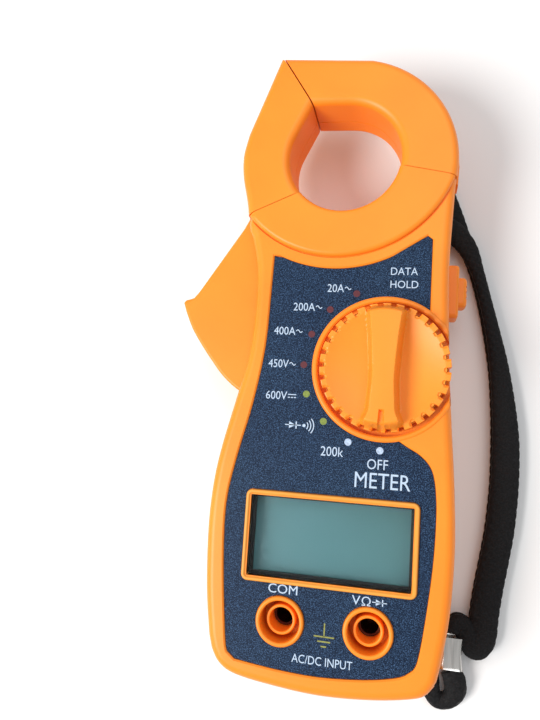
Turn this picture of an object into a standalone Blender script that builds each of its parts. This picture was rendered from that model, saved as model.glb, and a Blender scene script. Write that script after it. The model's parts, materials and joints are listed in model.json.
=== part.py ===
"""Pocket clamp meter, lying on its back.

Sizes here are millimetres, turned into metres as each shape is made.
X runs across the case, +Y runs along it towards the jaws, +Z points out of the face.
The case's back lies on Z = 0, and the origin is on that back, on the case's centre line.
"""

import math

import bmesh
import bpy
from mathutils import Matrix, Vector

MM = 0.001

# Case
CASE_TOP = 24.4
CASE_SPLIT = 11.0
SPLIT_GAP = 0.15
WALL = 2.0
FLOOR = 2.4
FACE_INSIDE = 22.0
HOLLOW_TOP = 25.0
LABEL_LEVEL = 24.0
EDGE_ROUND = 2.2
BACK_ROUND = 1.6

# Jaws: a ring of two halves round the conductor window
WINDOW = (-0.65, 46.35)
WINDOW_RADIUS = 13.0
WINDOW_CORNER = 121.6
JAW_LOW = 10.0
JAW_TOP = 25.5
JAW_SPLIT = 16.0
JAW_ROUND = 1.9
JAW_GAP = 0.15
TIP_LINE = ((-16.6, 71.6), (-8.8, 59.5))
HEEL_LINE = ((-22.5, 32.4), (-10.4, 37.74))
ROOT_LINE = ((12.08, 43.7), (24.8, 41.0))
CRESCENT = (-1.5, 49.9)
CRESCENT_RADIUS = 27.4
STEP_LEVEL = 6.2

# Magnetic core, a band that keeps the window's outline
CORE_INSIDE = 16.6
CORE_OUTSIDE = 21.0
CORE_LOW = 14.0
CORE_HIGH = 21.5
CORE_PLAY = 0.3

# Lever: the left jaw and the trigger wing turn on one pin
PIVOT = (-20.5, 30.5)
PIN_RADIUS = 1.25
ARM_LOW = 8.6
ARM_HIGH = 19.5
ARM_PLAY = 0.3
BOSS_RADIUS = 3.6

# Range dial
DIAL = (10.8, -2.8)
DIAL_RADIUS = 14.1
DIAL_TEETH = 30
DIAL_WELL = 14.9
DIAL_COLLAR = 16.1
WELL_FLOOR = 22.9

# Display, test sockets, hold button, board
SCREEN = (0.6, -41.2)
SCREEN_SIZE = (35.8, 17.6)
SCREEN_FRAME = 1.1
SOCKETS = (-9.1, 9.9)
SOCKET_Y = -59.0
SOCKET_COLLAR = 5.7
SOCKET_WELL = 4.4
SOCKET_SLEEVE = 3.2
TUBE_RADIUS = 2.5
TUBE_BORE = 2.0
TUBE_LOW = 7.4
TUBE_HIGH = 17.4
BUTTON_Y = 17.1
BOARD_LOW = 14.2
BOARD_HIGH = 15.8

# Power: two AAA cells side by side across the case
CELLS_Y = (-31.5, -42.5)
CELL_RADIUS = 5.2
CELL_Z = 7.5
CASE_SCREWS = ((-19.5, -64.5), (19.5, -64.5), (-19.0, -16.5), (18.2, 27.0))
DOOR_SCREW = (0.4, -52.4)

FINISHES = {
    "casing_orange": ((1.0, 0.38, 0.035), 0.42, 0.0),
    "label_dark": ((0.022, 0.032, 0.062), 0.5, 0.0),
    "lens_clear": ((0.85, 0.9, 0.9), 0.08, 0.0),
    "display_grey": ((0.2, 0.32, 0.32), 0.25, 0.0),
    "black_plastic": ((0.02, 0.02, 0.02), 0.45, 0.0),
    "board_green": ((0.03, 0.16, 0.06), 0.5, 0.0),
    "core_steel": ((0.32, 0.32, 0.34), 0.45, 1.0),
    "steel": ((0.62, 0.62, 0.6), 0.3, 1.0),
    "brass": ((0.78, 0.57, 0.25), 0.3, 1.0),
    "coil_tape": ((0.75, 0.5, 0.1), 0.6, 0.0),
    "white_plastic": ((0.8, 0.8, 0.78), 0.5, 0.0),
    "cell_wrap": ((0.05, 0.09, 0.22), 0.35, 0.0),
    "rubber_grey": ((0.12, 0.12, 0.13), 0.8, 0.0),
    "copper_wire": ((0.7, 0.05, 0.03), 0.5, 0.0),
    "strap_black": ((0.012, 0.012, 0.012), 0.9, 0.0),
}


# ---------------------------------------------------------------- drawing helpers

def arc(centre, radius, start, end, steps):
    """Points on a circle from one angle to another, in degrees, both ends included."""
    turn = [math.radians(start + (end - start) * i / steps) for i in range(steps + 1)]
    return [(centre[0] + radius * math.cos(a), centre[1] + radius * math.sin(a)) for a in turn]


def circle(centre, radius, steps=32):
    return arc(centre, radius, 0, 360, steps)[:-1]


def smooth(points, steps=4):
    """A Catmull-Rom curve through the points of an open line, in two or three dimensions."""
    ends = [points[0], *points, points[-1]]
    line = []
    for a, b, c, d in zip(ends, ends[1:], ends[2:], ends[3:]):
        for i in range(steps):
            t = i / steps
            line.append(tuple(
                0.5 * (2 * q + (r - p) * t + (2 * p - 5 * q + 4 * r - s) * t * t
                       + (3 * q - p - 3 * r + s) * t ** 3)
                for p, q, r, s in zip(a, b, c, d)))
    return line + [tuple(points[-1])]


def rounded(low, high, radius, steps=4):
    """A rectangle with round corners, from its low corner to its high corner."""
    (x0, y0), (x1, y1) = low, high
    corners = ((x1 - radius, y1 - radius, 0), (x0 + radius, y1 - radius, 90),
               (x0 + radius, y0 + radius, 180), (x1 - radius, y0 + radius, 270))
    return [p for x, y, a in corners for p in arc((x, y), radius, a, a + 90, steps)]


def beside(line, gap, reach_out=40.0, reach_in=6.0):
    """A cutting line moved sideways to its left, from far outside the ring into the window."""
    (x0, y0), (x1, y1) = line
    length = math.hypot(x1 - x0, y1 - y0)
    ux, uy = (x1 - x0) / length, (y1 - y0) / length
    x0, y0, x1, y1 = x0 - uy * gap, y0 + ux * gap, x1 - uy * gap, y1 + ux * gap
    return (x0 - ux * reach_out, y0 - uy * reach_out), (x1 + ux * reach_in, y1 + uy * reach_in)


def window_line(radius, steps=36):
    """The window's outline at a distance: a circle with one square corner at the jaw tips."""
    spread = 33.3
    corner = radius / math.cos(math.radians(spread))
    turned = arc(WINDOW, radius, WINDOW_CORNER + spread, WINDOW_CORNER + 360 - spread, steps)
    return turned + arc(WINDOW, corner, WINDOW_CORNER, WINDOW_CORNER, 1)[:1]


# ---------------------------------------------------------------- solid helpers

def collection(name):
    made = bpy.data.collections.new(name)
    bpy.context.scene.collection.children.link(made)
    return made


def finish(piece, look):
    """Give a piece its own material in one of the listed finishes."""
    colour, roughness, metallic = FINISHES[look]
    made = bpy.data.materials.new(piece.name)
    made.use_nodes = True
    shader = made.node_tree.nodes["Principled BSDF"]
    shader.inputs["Base Color"].default_value = (*colour, 1.0)
    shader.inputs["Roughness"].default_value = roughness
    shader.inputs["Metallic"].default_value = metallic
    piece.data.materials.clear()
    piece.data.materials.append(made)
    return piece


def solid(name, form, look=None):
    """A mesh object from a bmesh: a named part if it has a look, and otherwise a cutter."""
    bmesh.ops.recalc_face_normals(form, faces=form.faces)
    mesh = bpy.data.meshes.new(name)
    form.to_mesh(mesh)
    form.free()
    piece = bpy.data.objects.new(name, mesh)
    if look:
        parts.objects.link(piece)
        return finish(piece, look)
    cutters.objects.link(piece)
    piece.hide_render = True
    piece.display_type = "WIRE"
    return piece


def prism(name, outlines, low, high, look=None, round_low=0.0, round_high=0.0, segments=2):
    """A flat outline drawn as a filled 2D curve, made thick, with its rims rounded."""
    flat = bpy.data.curves.new(name, "CURVE")
    flat.dimensions = "2D"
    flat.fill_mode = "BOTH"
    flat.extrude = (high - low) / 2 * MM
    for outline in outlines:
        spline = flat.splines.new("POLY")
        spline.points.add(len(outline) - 1)
        for point, (x, y) in zip(spline.points, outline):
            point.co = (x * MM, y * MM, 0, 1)
        spline.use_cyclic_u = True
    drawn = bpy.data.objects.new(name, flat)
    parts.objects.link(drawn)
    graph = bpy.context.evaluated_depsgraph_get()
    mesh = bpy.data.meshes.new_from_object(drawn.evaluated_get(graph))
    bpy.data.objects.remove(drawn)
    form = bmesh.new()
    form.from_mesh(mesh)
    bpy.data.meshes.remove(mesh)
    bmesh.ops.remove_doubles(form, verts=form.verts, dist=1e-6)
    bmesh.ops.dissolve_limit(form, angle_limit=0.005, verts=form.verts, edges=form.edges)
    bmesh.ops.translate(form, verts=form.verts, vec=(0, 0, (low + high) / 2 * MM))
    widest = max(round_low, round_high)
    if widest:
        weight = form.edges.layers.float.new("bevel_weight_edge")
        middle = (low + high) / 2 * MM
        for edge in form.edges:
            heights = [v.co.z for v in edge.verts]
            rim = abs(edge.calc_face_angle(0)) > 1.0
            if rim and min(heights) > middle:
                edge[weight] = round_high / widest
            elif rim and max(heights) < middle:
                edge[weight] = round_low / widest
    piece = solid(name, form, look)
    if widest:
        bevel = piece.modifiers.new("rounded rims", "BEVEL")
        bevel.limit_method = "WEIGHT"
        bevel.width = widest * MM
        bevel.segments = segments
        bevel.loop_slide = False
    return piece


def box(name, low, high, look=None):
    form = bmesh.new()
    bmesh.ops.create_cube(form, size=1.0)
    size = [(b - a) * MM for a, b in zip(low, high)]
    centre = [(a + b) / 2 * MM for a, b in zip(low, high)]
    bmesh.ops.scale(form, verts=form.verts, vec=size)
    bmesh.ops.translate(form, verts=form.verts, vec=centre)
    return solid(name, form, look)


def rod(name, start, end, radius, look=None, steps=24, end_radius=None):
    """A cylinder, or a cone, between two points."""
    start, end = Vector(start) * MM, Vector(end) * MM
    turn = (end - start).to_track_quat("Z", "Y").to_matrix().to_4x4()
    form = bmesh.new()
    bmesh.ops.create_cone(
        form, cap_ends=True, segments=steps, radius1=radius * MM,
        radius2=(radius if end_radius is None else end_radius) * MM, depth=(end - start).length,
        matrix=Matrix.Translation((start + end) / 2) @ turn)
    return solid(name, form, look)


def post(name, spot, low, high, radius, look=None, steps=24):
    return rod(name, (*spot, low), (*spot, high), radius, look, steps)


def wire(name, points, radius, look, sides=2):
    """A round wire, spring or cord: a curve with a bevel and filled ends."""
    line = bpy.data.curves.new(name, "CURVE")
    line.dimensions = "3D"
    line.bevel_depth = radius * MM
    line.bevel_resolution = sides
    line.use_fill_caps = True
    spline = line.splines.new("POLY")
    spline.points.add(len(points) - 1)
    for point, place in zip(spline.points, points):
        point.co = (*(c * MM for c in place), 1)
    piece = bpy.data.objects.new(name, line)
    parts.objects.link(piece)
    weld = piece.modifiers.new("closed ends", "WELD")
    weld.merge_threshold = 0.00001
    return finish(piece, look)


def helix(start, axis, radius, turns, length, first=0.0, per_turn=10):
    """Points of a coil that starts at a point and runs along a coordinate axis, 0 or 2."""
    count = round(turns * per_turn)
    line = []
    for i in range(count + 1):
        angle = math.radians(first) + 2 * math.pi * turns * i / count
        along = length * i / count
        across = (radius * math.cos(angle), radius * math.sin(angle))
        offset = (along, *across) if axis == 0 else (*across, along)
        line.append(tuple(a + b for a, b in zip(start, offset)))
    return line


def boolean(piece, tool, operation="DIFFERENCE"):
    change = piece.modifiers.new(tool.name, "BOOLEAN")
    change.operation = operation
    change.object = tool
    return piece


def cut(piece, *tools):
    for tool in tools:
        boolean(piece, tool)
    return piece


def join(piece, *tools):
    for tool in tools:
        boolean(piece, tool, "UNION")
    return piece


def keep(piece, *tools):
    for tool in tools:
        boolean(piece, tool, "INTERSECT")
    return piece


def origin_at(piece, x, y, z):
    """Move a piece's origin onto its joint's axis and leave its shape where it is."""
    place = Vector((x, y, z)) * MM
    piece.data.transform(Matrix.Translation(-place))
    piece.location = place
    return piece


# ---------------------------------------------------------------- shared outlines and cutters

def case_line(grow=0.0):
    """The case seen from the front, clockwise: narrow at the waist and wider at the display."""
    right = smooth([(24.7, 41.0), (24.3, 33.0), (23.9, 22.0), (24.1, 12.0), (24.7, -3.0),
                    (25.6, -15.0), (26.6, -28.0), (27.1, -41.0), (26.5, -54.0), (25.0, -64.0)], 2)
    foot = smooth([(24.3, -67.2), (22.6, -69.8), (19.6, -71.3), (11.0, -72.8), (0.0, -73.5),
                   (-11.0, -72.8), (-19.0, -71.6), (-22.6, -69.6), (-24.4, -66.8)], 3)
    left = smooth([(-25.2, -64.0), (-26.6, -54.0), (-27.3, -41.0), (-26.9, -31.0), (-25.6, -22.5),
                   (-22.8, -10.5), (-20.6, -1.0), (-19.8, 10.0), (-20.1, 20.0), (-21.7, 27.4)], 2)
    nose = arc(PIVOT, 2.4, 196, 114, 6)
    line = [(24.7, 60.0)] + right + foot + left + nose + [(-21.4, 60.0)]
    return grown(line, grow) if grow else line


def inside_line():
    """The hollow of the case, up to the solid part under the crescent."""
    return [(21.9, HOLLOW_TOP)] + [p for p in case_line(-WALL) if p[1] < HOLLOW_TOP - 0.5] + [
        (-19.0, HOLLOW_TOP)]


def grown(line, distance):
    """The outline moved outwards along the normals of a clockwise line."""
    moved = []
    for before, here, after in zip(line[-1:] + line[:-1], line, line[1:] + line[:1]):
        first = Vector((here[0] - before[0], here[1] - before[1])).normalized()
        second = Vector((after[0] - here[0], after[1] - here[1])).normalized()
        normal = Vector((-first.y - second.y, first.x + second.x)).normalized()
        reach = distance / max(0.4, normal.dot(Vector((-first.y, first.x))))
        moved.append((here[0] + normal.x * reach, here[1] + normal.y * reach))
    return moved


def ring_line():
    """The jaws' outer outline: round on the right, square where the tips meet."""
    right = arc((-0.5, 45.1), 25.6, -45, 78, 26)
    corner = smooth([(-16.2, 71.85), (-17.3, 71.6), (-17.9, 70.8)], 3)
    left = smooth([(-24.1, 52.8), (-25.05, 48.3), (-25.15, 45.0), (-24.7, 41.5), (-24.0, 38.5),
                   (-23.3, 35.5), (-22.8, 32.3), (-22.3, 28.0)], 3)
    return right + corner + left


def left_side(gap):
    """Everything to the left of the tips and above the heel of the moving jaw."""
    tip_far, tip_near = beside(TIP_LINE, -gap)
    heel_far, heel_near = beside(HEEL_LINE, gap)
    return [tip_far, tip_near, heel_near, heel_far, (-80, heel_far[1]), (-80, tip_far[1])]


def right_side(gap):
    """Everything to the right of the tips and above the root of the fixed jaw."""
    tip_far, tip_near = beside(TIP_LINE, gap)
    root_far, root_near = beside((ROOT_LINE[1], ROOT_LINE[0]), -gap)
    return [tip_far, (80, tip_far[1]), (80, root_far[1]), root_far, root_near, tip_near]


def above_seams():
    """Everything over the case's crescent, which the two jaws stand on."""
    heel_far, heel_near = beside(HEEL_LINE, 0.0)
    root_far, root_near = beside((ROOT_LINE[1], ROOT_LINE[0]), 0.0)
    return [heel_far, heel_near, root_near, root_far, (80, root_far[1]), (80, 110), (-80, 110),
            (-80, heel_far[1])]


def frame_line(gap=0.0):
    """The frame round the display, with round corners."""
    x, y = SCREEN
    across = SCREEN_SIZE[0] / 2 + SCREEN_FRAME + gap
    along = SCREEN_SIZE[1] / 2 + SCREEN_FRAME + gap
    return rounded((x - across, y - along), (x + across, y + along), 1.4 + gap)


def make_tools():
    """Cutters that more than one piece uses."""
    window = prism("cut window", [circle(WINDOW, WINDOW_RADIUS, 40)], -2, 30)
    play = CORE_PLAY
    return {
        "window": window,
        "seams": prism("cut above seams", [above_seams()], -2, 30),
        "core": prism("cut core space",
                      [window_line(CORE_OUTSIDE + play, 41), window_line(CORE_INSIDE - play, 41)],
                      CORE_LOW - play, CORE_HIGH + play),
        "coil": prism("cut coil space", [circle(WINDOW, 22.6, 36), circle(WINDOW, 15.1, 36)],
                      STEP_LEVEL + WALL, 23.4),
        "arm": prism("cut arm space", [[
            (-34, 38), (-16.5, 38), *arc(PIVOT, 4.2, 0, -14, 2), (-15.4, 28.6), (-14.3, 27.0),
            (-13.2, 24.0), (-12, 10), (-12, -4), (-15, -10.4), (-34, -10.4)]],
            ARM_LOW - ARM_PLAY, ARM_HIGH + ARM_PLAY),
        "pin": post("cut pin hole", PIVOT, 4.2, 23.2, PIN_RADIUS + 0.08),
        "button": prism("cut button hole", [rounded((19, BUTTON_Y - 6.65), (32, BUTTON_Y + 6.65), 1)],
                        7.9, 15.6),
        "lid": box("cut above parting", (-60, -90, JAW_SPLIT - 0.05), (60, 110, 40)),
        "tray": box("cut below parting", (-60, -90, -10), (60, 110, JAW_SPLIT + 0.05)),
    }


# ---------------------------------------------------------------- case

def front_case(tools):
    """Front half: face, dial well, display frame, test sockets and the upper crescent."""
    line = case_line()
    case = prism("front_case", [line], CASE_SPLIT + SPLIT_GAP, CASE_TOP, "casing_orange",
                 round_high=EDGE_ROUND)
    rim = prism("add crescent", [circle(CRESCENT, CRESCENT_RADIUS, 56),
                                 circle(WINDOW, WINDOW_RADIUS, 40)],
                18, JAW_TOP, round_high=1.1)
    shoulder = prism("keep in case", [case_line(-0.02)], 10, 30)
    keep(rim, shoulder)
    collar = post("add dial collar", DIAL, 20.5, CASE_TOP + 0.3, DIAL_COLLAR, steps=44)
    keep(collar, shoulder)
    cut(case, tools["window"])
    join(case, rim, collar)
    cut(case, tools["seams"])

    inside = prism("cut front inside", [inside_line()], 9, FACE_INSIDE)
    cut(inside, post("leave dial floor", DIAL, WELL_FLOOR - 2.2, 24, DIAL_COLLAR + 0.6, steps=40))
    for i, spot in enumerate(CASE_SCREWS[:3]):
        cut(inside, post(f"leave screw post {i}", spot, 8, 24, 2.5, steps=16))
    for i, x in enumerate(SOCKETS):
        cut(inside, post(f"leave socket {i}", (x, SOCKET_Y), 8, 24, 6.0, steps=32))
    cut(case, inside, tools["coil"], tools["arm"], tools["pin"], tools["button"])

    cut(case,
        post("cut dial well", DIAL, WELL_FLOOR, 30, DIAL_WELL, steps=44),
        post("cut dial hub hole", DIAL, 15, 26, 5.2, steps=24))
    x, y = SCREEN
    w, h = SCREEN_SIZE
    frame = prism("add display frame", [frame_line()], 21.5, CASE_TOP + 0.3)
    join(case, frame)
    cut(case, box("cut display window", (x - w / 2, y - h / 2, 20), (x + w / 2, y + h / 2, 30)))
    recess = prism("cut label recess", [label_line(0.12)], LABEL_LEVEL - 0.4, 30)
    cut(recess,
        prism("leave display frame", [frame_line()], 20, 40),
        post("leave dial collar", DIAL, 20, 40, DIAL_COLLAR + 0.06, steps=44))
    for i, sx in enumerate(SOCKETS):
        cut(recess, post(f"leave socket collar {i}", (sx, SOCKET_Y), 20, 40, SOCKET_COLLAR - 0.4,
                         steps=32))
        join(case, post(f"add socket wall {i}", (sx, SOCKET_Y), 9.2, CASE_TOP + 0.3, SOCKET_COLLAR,
                        steps=32))
    cut(case, recess)
    for i, sx in enumerate(SOCKETS):
        spot = (sx, SOCKET_Y)
        well = post(f"cut socket well {i}", spot, 10.6, 30, SOCKET_WELL, steps=32)
        cut(well, post(f"leave socket sleeve {i}", spot, 8, 22.6, SOCKET_SLEEVE, steps=32))
        cut(case, well, post(f"cut socket bore {i}", spot, 5, 24, TUBE_RADIUS + 0.1, steps=24))
    for i, spot in enumerate(CASE_SCREWS):
        cut(case, post(f"cut screw pilot {i}", spot, 8, 19.5, 1.0, steps=12))
    return case


def rear_case(tools):
    """Back half: flat back, battery bay, screw posts and the stepped lower crescent."""
    case = prism("rear_case", [case_line()], 0, CASE_SPLIT - SPLIT_GAP, "casing_orange",
                 round_low=BACK_ROUND)
    inside = prism("cut rear inside", [inside_line()], FLOOR, 14)
    for i, spot in enumerate(CASE_SCREWS[:3]):
        cut(inside, post(f"leave rear post {i}", spot, 0, 16, 3.7, steps=20))
    low, high = CELLS_Y[1] - CELL_RADIUS - 0.7, CELLS_Y[0] + CELL_RADIUS + 0.7
    for i, y in enumerate((low - 1.2, high)):
        cut(inside, box(f"leave bay rib {i}", (-30, y, 0), (30, y + 1.2, 16)))
    cut(inside, post("leave door post", DOOR_SCREW, 0, 16, 2.9, steps=20))
    cut(case, tools["window"], tools["seams"],
        post("cut crescent step", CRESCENT, -3, STEP_LEVEL, 26.8, steps=48),
        box("cut strap passage", (12.0, 30.6, -3), (40, 80, STEP_LEVEL - 0.02)),
        inside, tools["coil"], tools["arm"], tools["pin"], tools["button"])
    cut(case,
        prism("cut bay opening", [rounded((-22.8, low + 0.3), (22.8, high - 0.3), 1.5)], -2, 4),
        prism("cut door recess", [door_line(0.25)], -2, 1.5),
        post("cut door pilot", DOOR_SCREW, -2, 9.5, 1.0, steps=12))
    for i, spot in enumerate(CASE_SCREWS):
        cut(case, post(f"cut screw seat {i}", spot, -2, 4.2, 2.8, steps=20),
            post(f"cut screw way {i}", spot, -2, 14, 1.5, steps=12))
    return case


def door_line(gap=0.0):
    """The battery door: a rounded plate with one round ear for its screw."""
    low, high = CELLS_Y[1] - 6.4, CELLS_Y[0] + 6.4
    x, y = DOOR_SCREW
    ear = arc((x, y), 4.3 + gap, 180, 360, 8)
    body = rounded((-23.4 - gap, low - gap), (23.4 + gap, high + gap), 1.8, 3)
    return body[:12] + ear + body[12:]


def battery_door():
    door = prism("battery_door", [door_line()], 0.0, 1.3, "casing_orange")
    edge = CELLS_Y[0] + CELL_RADIUS + 0.4
    for i, x in enumerate((-13.0, 8.0)):
        hook = box(f"add door hook {i}", (x, edge - 1.3, 1.0), (x + 5, edge - 0.1, 3.6))
        lip = box(f"add door lip {i}", (x, edge - 1.0, 2.6), (x + 5, edge + 1.6, 3.6))
        tab_way = box(f"leave lip way {i}", (x - 0.4, edge - 2, FLOOR), (x + 5.4, edge + 2.4, 4.2))
        join(door, hook, lip)
        cut(bpy.data.objects["rear_case"], tab_way)
    cut(door, post("cut door screw hole", DOOR_SCREW, -2, 4, 1.5, steps=12))
    return door


def screw(name, spot, seat, reach):
    """A pan-head screw driven up from the back, with a cross recess."""
    form = post(name, spot, seat - 1.5, seat, 2.3, "steel", 16)
    join(form, post(f"add {name} shank", spot, seat - 0.5, reach, 0.92, steps=10))
    x, y = spot
    for i, (dx, dy) in enumerate(((1.3, 0.3), (0.3, 1.3))):
        cut(form, box(f"cut {name} slot {i}", (x - dx, y - dy, seat - 2.5),
                      (x + dx, y + dy, seat - 0.8)))
    return form


def fasteners():
    for i, spot in enumerate(CASE_SCREWS):
        screw(f"case_screw_{i + 1}", spot, 4.1, 18.5)
    x, y = DOOR_SCREW
    head = rod("door_screw", (x, y, -0.0), (x, y, 1.2), 2.9, "steel", 16, end_radius=1.6)
    cut(bpy.data.objects["battery_door"],
        rod("cut door screw seat", (x, y, -0.3), (x, y, 1.29), 3.3, steps=20, end_radius=1.75))
    join(head, post("add door_screw shank", DOOR_SCREW, 1.0, 8.6, 0.92, steps=10))
    for i, (dx, dy) in enumerate(((1.3, 0.3), (0.3, 1.3))):
        cut(head, box(f"cut door_screw slot {i}", (x - dx, y - dy, -1), (x + dx, y + dy, 0.7)))


# ---------------------------------------------------------------- face

def label_line(gap=0.0):
    """The dark label's outline, which follows the crescent, the dial and the case."""
    crescent = arc(CRESCENT, CRESCENT_RADIUS + 2.8, 298, 242, 14)
    left = smooth([(-15.9, 14.0), (-16.4, 1.0), (-18.4, -12.0), (-21.3, -24.5), (-23.0, -35.0),
                   (-22.6, -48.0), (-21.1, -63.0), (-20.4, -66.6)], 3)
    foot = smooth([(-18.6, -68.0), (-9.5, -68.9), (0.0, -69.2), (9.5, -68.4), (15.6, -67.2), (17.9, -66.3)], 3)
    right = smooth([(19.4, -65.1), (20.2, -63.2), (21.2, -57.0), (22.5, -45.0), (22.9, -35.0),
                    (22.6, -28.5), (21.6, -24.1), (19.3, -21.4), (16.2, -19.6), (13.0, -17.6)], 3)
    under_dial = [(20.0, -5.0)]
    line = ([(-15.7, 22.6)] + left + foot + right + under_dial + [(20.0, 26.6), (19.0, 27.4)]
            + crescent[1:-1])
    clockwise = line[::-1]
    return grown(clockwise, gap) if gap else clockwise


def face_label():
    label = prism("face_label", [label_line()], LABEL_LEVEL - 0.3, LABEL_LEVEL, "label_dark")
    cut(label, prism("cut label screen", [frame_line(0.15)], 20, 30),
        post("cut label dial", DIAL, 20, 30, DIAL_COLLAR + 0.15, steps=44))
    for i, sx in enumerate(SOCKETS):
        cut(label, post(f"cut label socket {i}", (sx, SOCKET_Y), 20, 30, 5.45, steps=32))
    return label


def display():
    """Clear window, black frame, liquid-crystal panel and its two rubber connectors."""
    x, y = SCREEN
    w, h = SCREEN_SIZE
    box("lcd_window", (x - w / 2 + 0.1, y - h / 2 + 0.1, 22.7), (x + w / 2 - 0.1, y + h / 2 - 0.1, 23.5),
        "lens_clear")
    holder = box("lcd_holder", (x - w / 2 - 1.6, y - h / 2 - 1.6, 16.1),
                 (x + w / 2 + 1.6, y + h / 2 + 1.6, 21.2), "black_plastic")
    cut(holder,
        box("cut holder window", (x - w / 2 + 0.6, y - h / 2 + 0.6, 15),
            (x + w / 2 - 0.6, y + h / 2 - 0.6, 25)),
        box("cut holder seat", (x - w / 2 - 0.6, y - h / 2 - 0.6, 15),
            (x + w / 2 + 0.6, y + h / 2 + 0.6, 20.2)))
    box("lcd_panel", (x - w / 2 - 0.4, y - h / 2 - 0.4, 18.3), (x + w / 2 + 0.4, y + h / 2 + 0.4, 20.0),
        "display_grey")
    for name, side in (("lcd_connector_upper", 1), ("lcd_connector_lower", -1)):
        middle = y + side * (h / 2 - 1.2)
        box(name, (x - 15, middle - 1, BOARD_HIGH + 0.2), (x + 15, middle + 1, 18.1), "rubber_grey")


def sockets():
    """Brass sockets that a 4 mm test plug goes into, and the wires to the board."""
    for name, x in zip(("com", "input"), SOCKETS):
        spot = (x, SOCKET_Y)
        tube = post(f"socket_{name}", spot, TUBE_LOW, TUBE_HIGH, TUBE_RADIUS, "brass", steps=20)
        cut(tube, post(f"cut socket_{name} bore", spot, TUBE_LOW + 0.8, 30, TUBE_BORE, steps=20))
        start = (x, SOCKET_Y + 0.2, TUBE_LOW - 0.7)
        wire(f"socket_wire_{name}", smooth([
            start, (x, SOCKET_Y + 3.6, 6.6), (x * 0.75, -51.0, 8.5), (x * 0.7, -50.0, 12.0),
            (x * 0.7, -50.0, BOARD_LOW - 0.2)], 2), 0.55, "copper_wire", 1)


# ---------------------------------------------------------------- dial

def dial_line():
    """The knob's rim with square teeth and narrow gaps between them."""
    line = []
    for i in range(DIAL_TEETH):
        pitch = 360 / DIAL_TEETH
        start = i * pitch
        line += arc(DIAL, DIAL_RADIUS, start, start + pitch * 0.68, 1)
        line += arc(DIAL, DIAL_RADIUS - 0.7, start + pitch * 0.76, start + pitch * 0.92, 1)
    return line


def grip_line():
    """The finger bar across the knob: wide at both ends and narrow in the middle."""
    x, y = DIAL
    half = smooth([(3.4, -12.4), (2.7, -8.0), (2.4, 0.0), (2.7, 8.0), (3.4, 12.4)], 3)
    return ([(x + dx, y + dy) for dx, dy in half] + [(x - dx, y - dy) for dx, dy in half])


def dial():
    """Turning knob, contact carrier, wipers and the detent that clicks into each range."""
    x, y = DIAL
    knob = prism("dial_knob", [dial_line()], WELL_FLOOR + 0.4, 27.4, "casing_orange")
    hub = post("add knob hub", DIAL, 17.0, 24.5, 4.9, steps=24)
    scoops = prism("cut knob scoops", [circle(DIAL, 12.4, 40)], 25.2, 32)
    bar = prism("leave knob bar", [grip_line()], 20, 34)
    cut(scoops, bar)
    ridge = prism("add knob bar", [grip_line()], 25.0, 30.8, round_high=0.8, segments=2)
    join(knob, hub)
    cut(knob, scoops)
    join(knob, ridge)
    cut(knob, box("cut knob pointer", (x - 0.6, y - 20, 29.9), (x + 0.6, y - 9.0, 34)),
        post("cut knob hollow", DIAL, 10, 22.0, 3.4, steps=20))
    origin_at(knob, x, y, 24)

    rotor = post("dial_rotor", DIAL, 16.9, 20.2, 10.9, "white_plastic", steps=40)
    cut(rotor, post("cut rotor hub hole", DIAL, 10, 30, 5.0, steps=24))
    for i, angle in enumerate((35, 155, 275)):
        spot = (x + 8.6 * math.cos(math.radians(angle)), y + 8.6 * math.sin(math.radians(angle)))
        band = arc(DIAL, 10.6, angle - 24, angle + 24, 6) + arc(DIAL, 7.6, angle + 24, angle - 24, 6)
        leaf = prism(f"dial_wiper_{i + 1}", [band], 16.2, 16.7, "brass")
        origin_at(leaf, *DIAL, 16.2)
        cut(rotor, post(f"cut rotor pocket {i}", spot, 17.4, 30, 1.5, steps=12))
    origin_at(rotor, x, y, 18)
    turn = math.radians(35)
    spot = (x + 8.6 * math.cos(turn), y + 8.6 * math.sin(turn))
    spring = wire("detent_spring", helix((*spot, 17.65), 2, 0.9, 1.5, 0.45, per_turn=8), 0.14,
                  "steel", 1)
    origin_at(spring, x, y, 18)
    form = bmesh.new()
    bmesh.ops.create_uvsphere(form, u_segments=10, v_segments=6, radius=1.1 * MM,
                              matrix=Matrix.Translation(Vector((*spot, 19.4)) * MM))
    ball = solid("detent_ball", form, "steel")
    origin_at(ball, x, y, 18)


# ---------------------------------------------------------------- jaws and lever

def ring(name, look=None):
    return prism(name, [ring_line(), window_line(WINDOW_RADIUS)], JAW_LOW, JAW_TOP, look,
                 round_low=JAW_ROUND, round_high=JAW_ROUND)


def fixed_jaw(tools):
    """The right jaw: two shells round the core, standing on the case's crescent."""
    region = prism("keep right of tips", [right_side(JAW_GAP)], 0, 40)
    for name, other in (("fixed_jaw_front", "tray"), ("fixed_jaw_rear", "lid")):
        shell = ring(name, "casing_orange")
        keep(shell, region)
        cut(shell, tools[other], tools["core"])


def arm_line():
    """The trigger wing with its round pivot boss and the neck that carries the jaw."""
    inner = smooth([(-17.9, 24.5), (-18.0, 16.0), (-18.5, 8.0), (-19.6, 0.0), (-21.4, -8.1)], 3)
    lower = smooth([(-22.7, -9.3), (-25.4, -7.7), (-28.2, -5.2), (-30.8, -2.1), (-33.6, 1.5),
                    (-36.4, 5.6), (-38.4, 9.8), (-39.4, 12.0)], 3)
    tip = [(-39.0, 12.6), (-37.4, 12.9), (-36.3, 13.8)]
    upper = [(-35.4, 14.9), (-25.2, 30.7), (-23.8, 33.2), (-23.4, 38.2)]
    boss = arc(PIVOT, BOSS_RADIUS, 10, -45, 5)
    return [(-17.0, 38.2)] + boss + inner + lower + tip + upper


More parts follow.
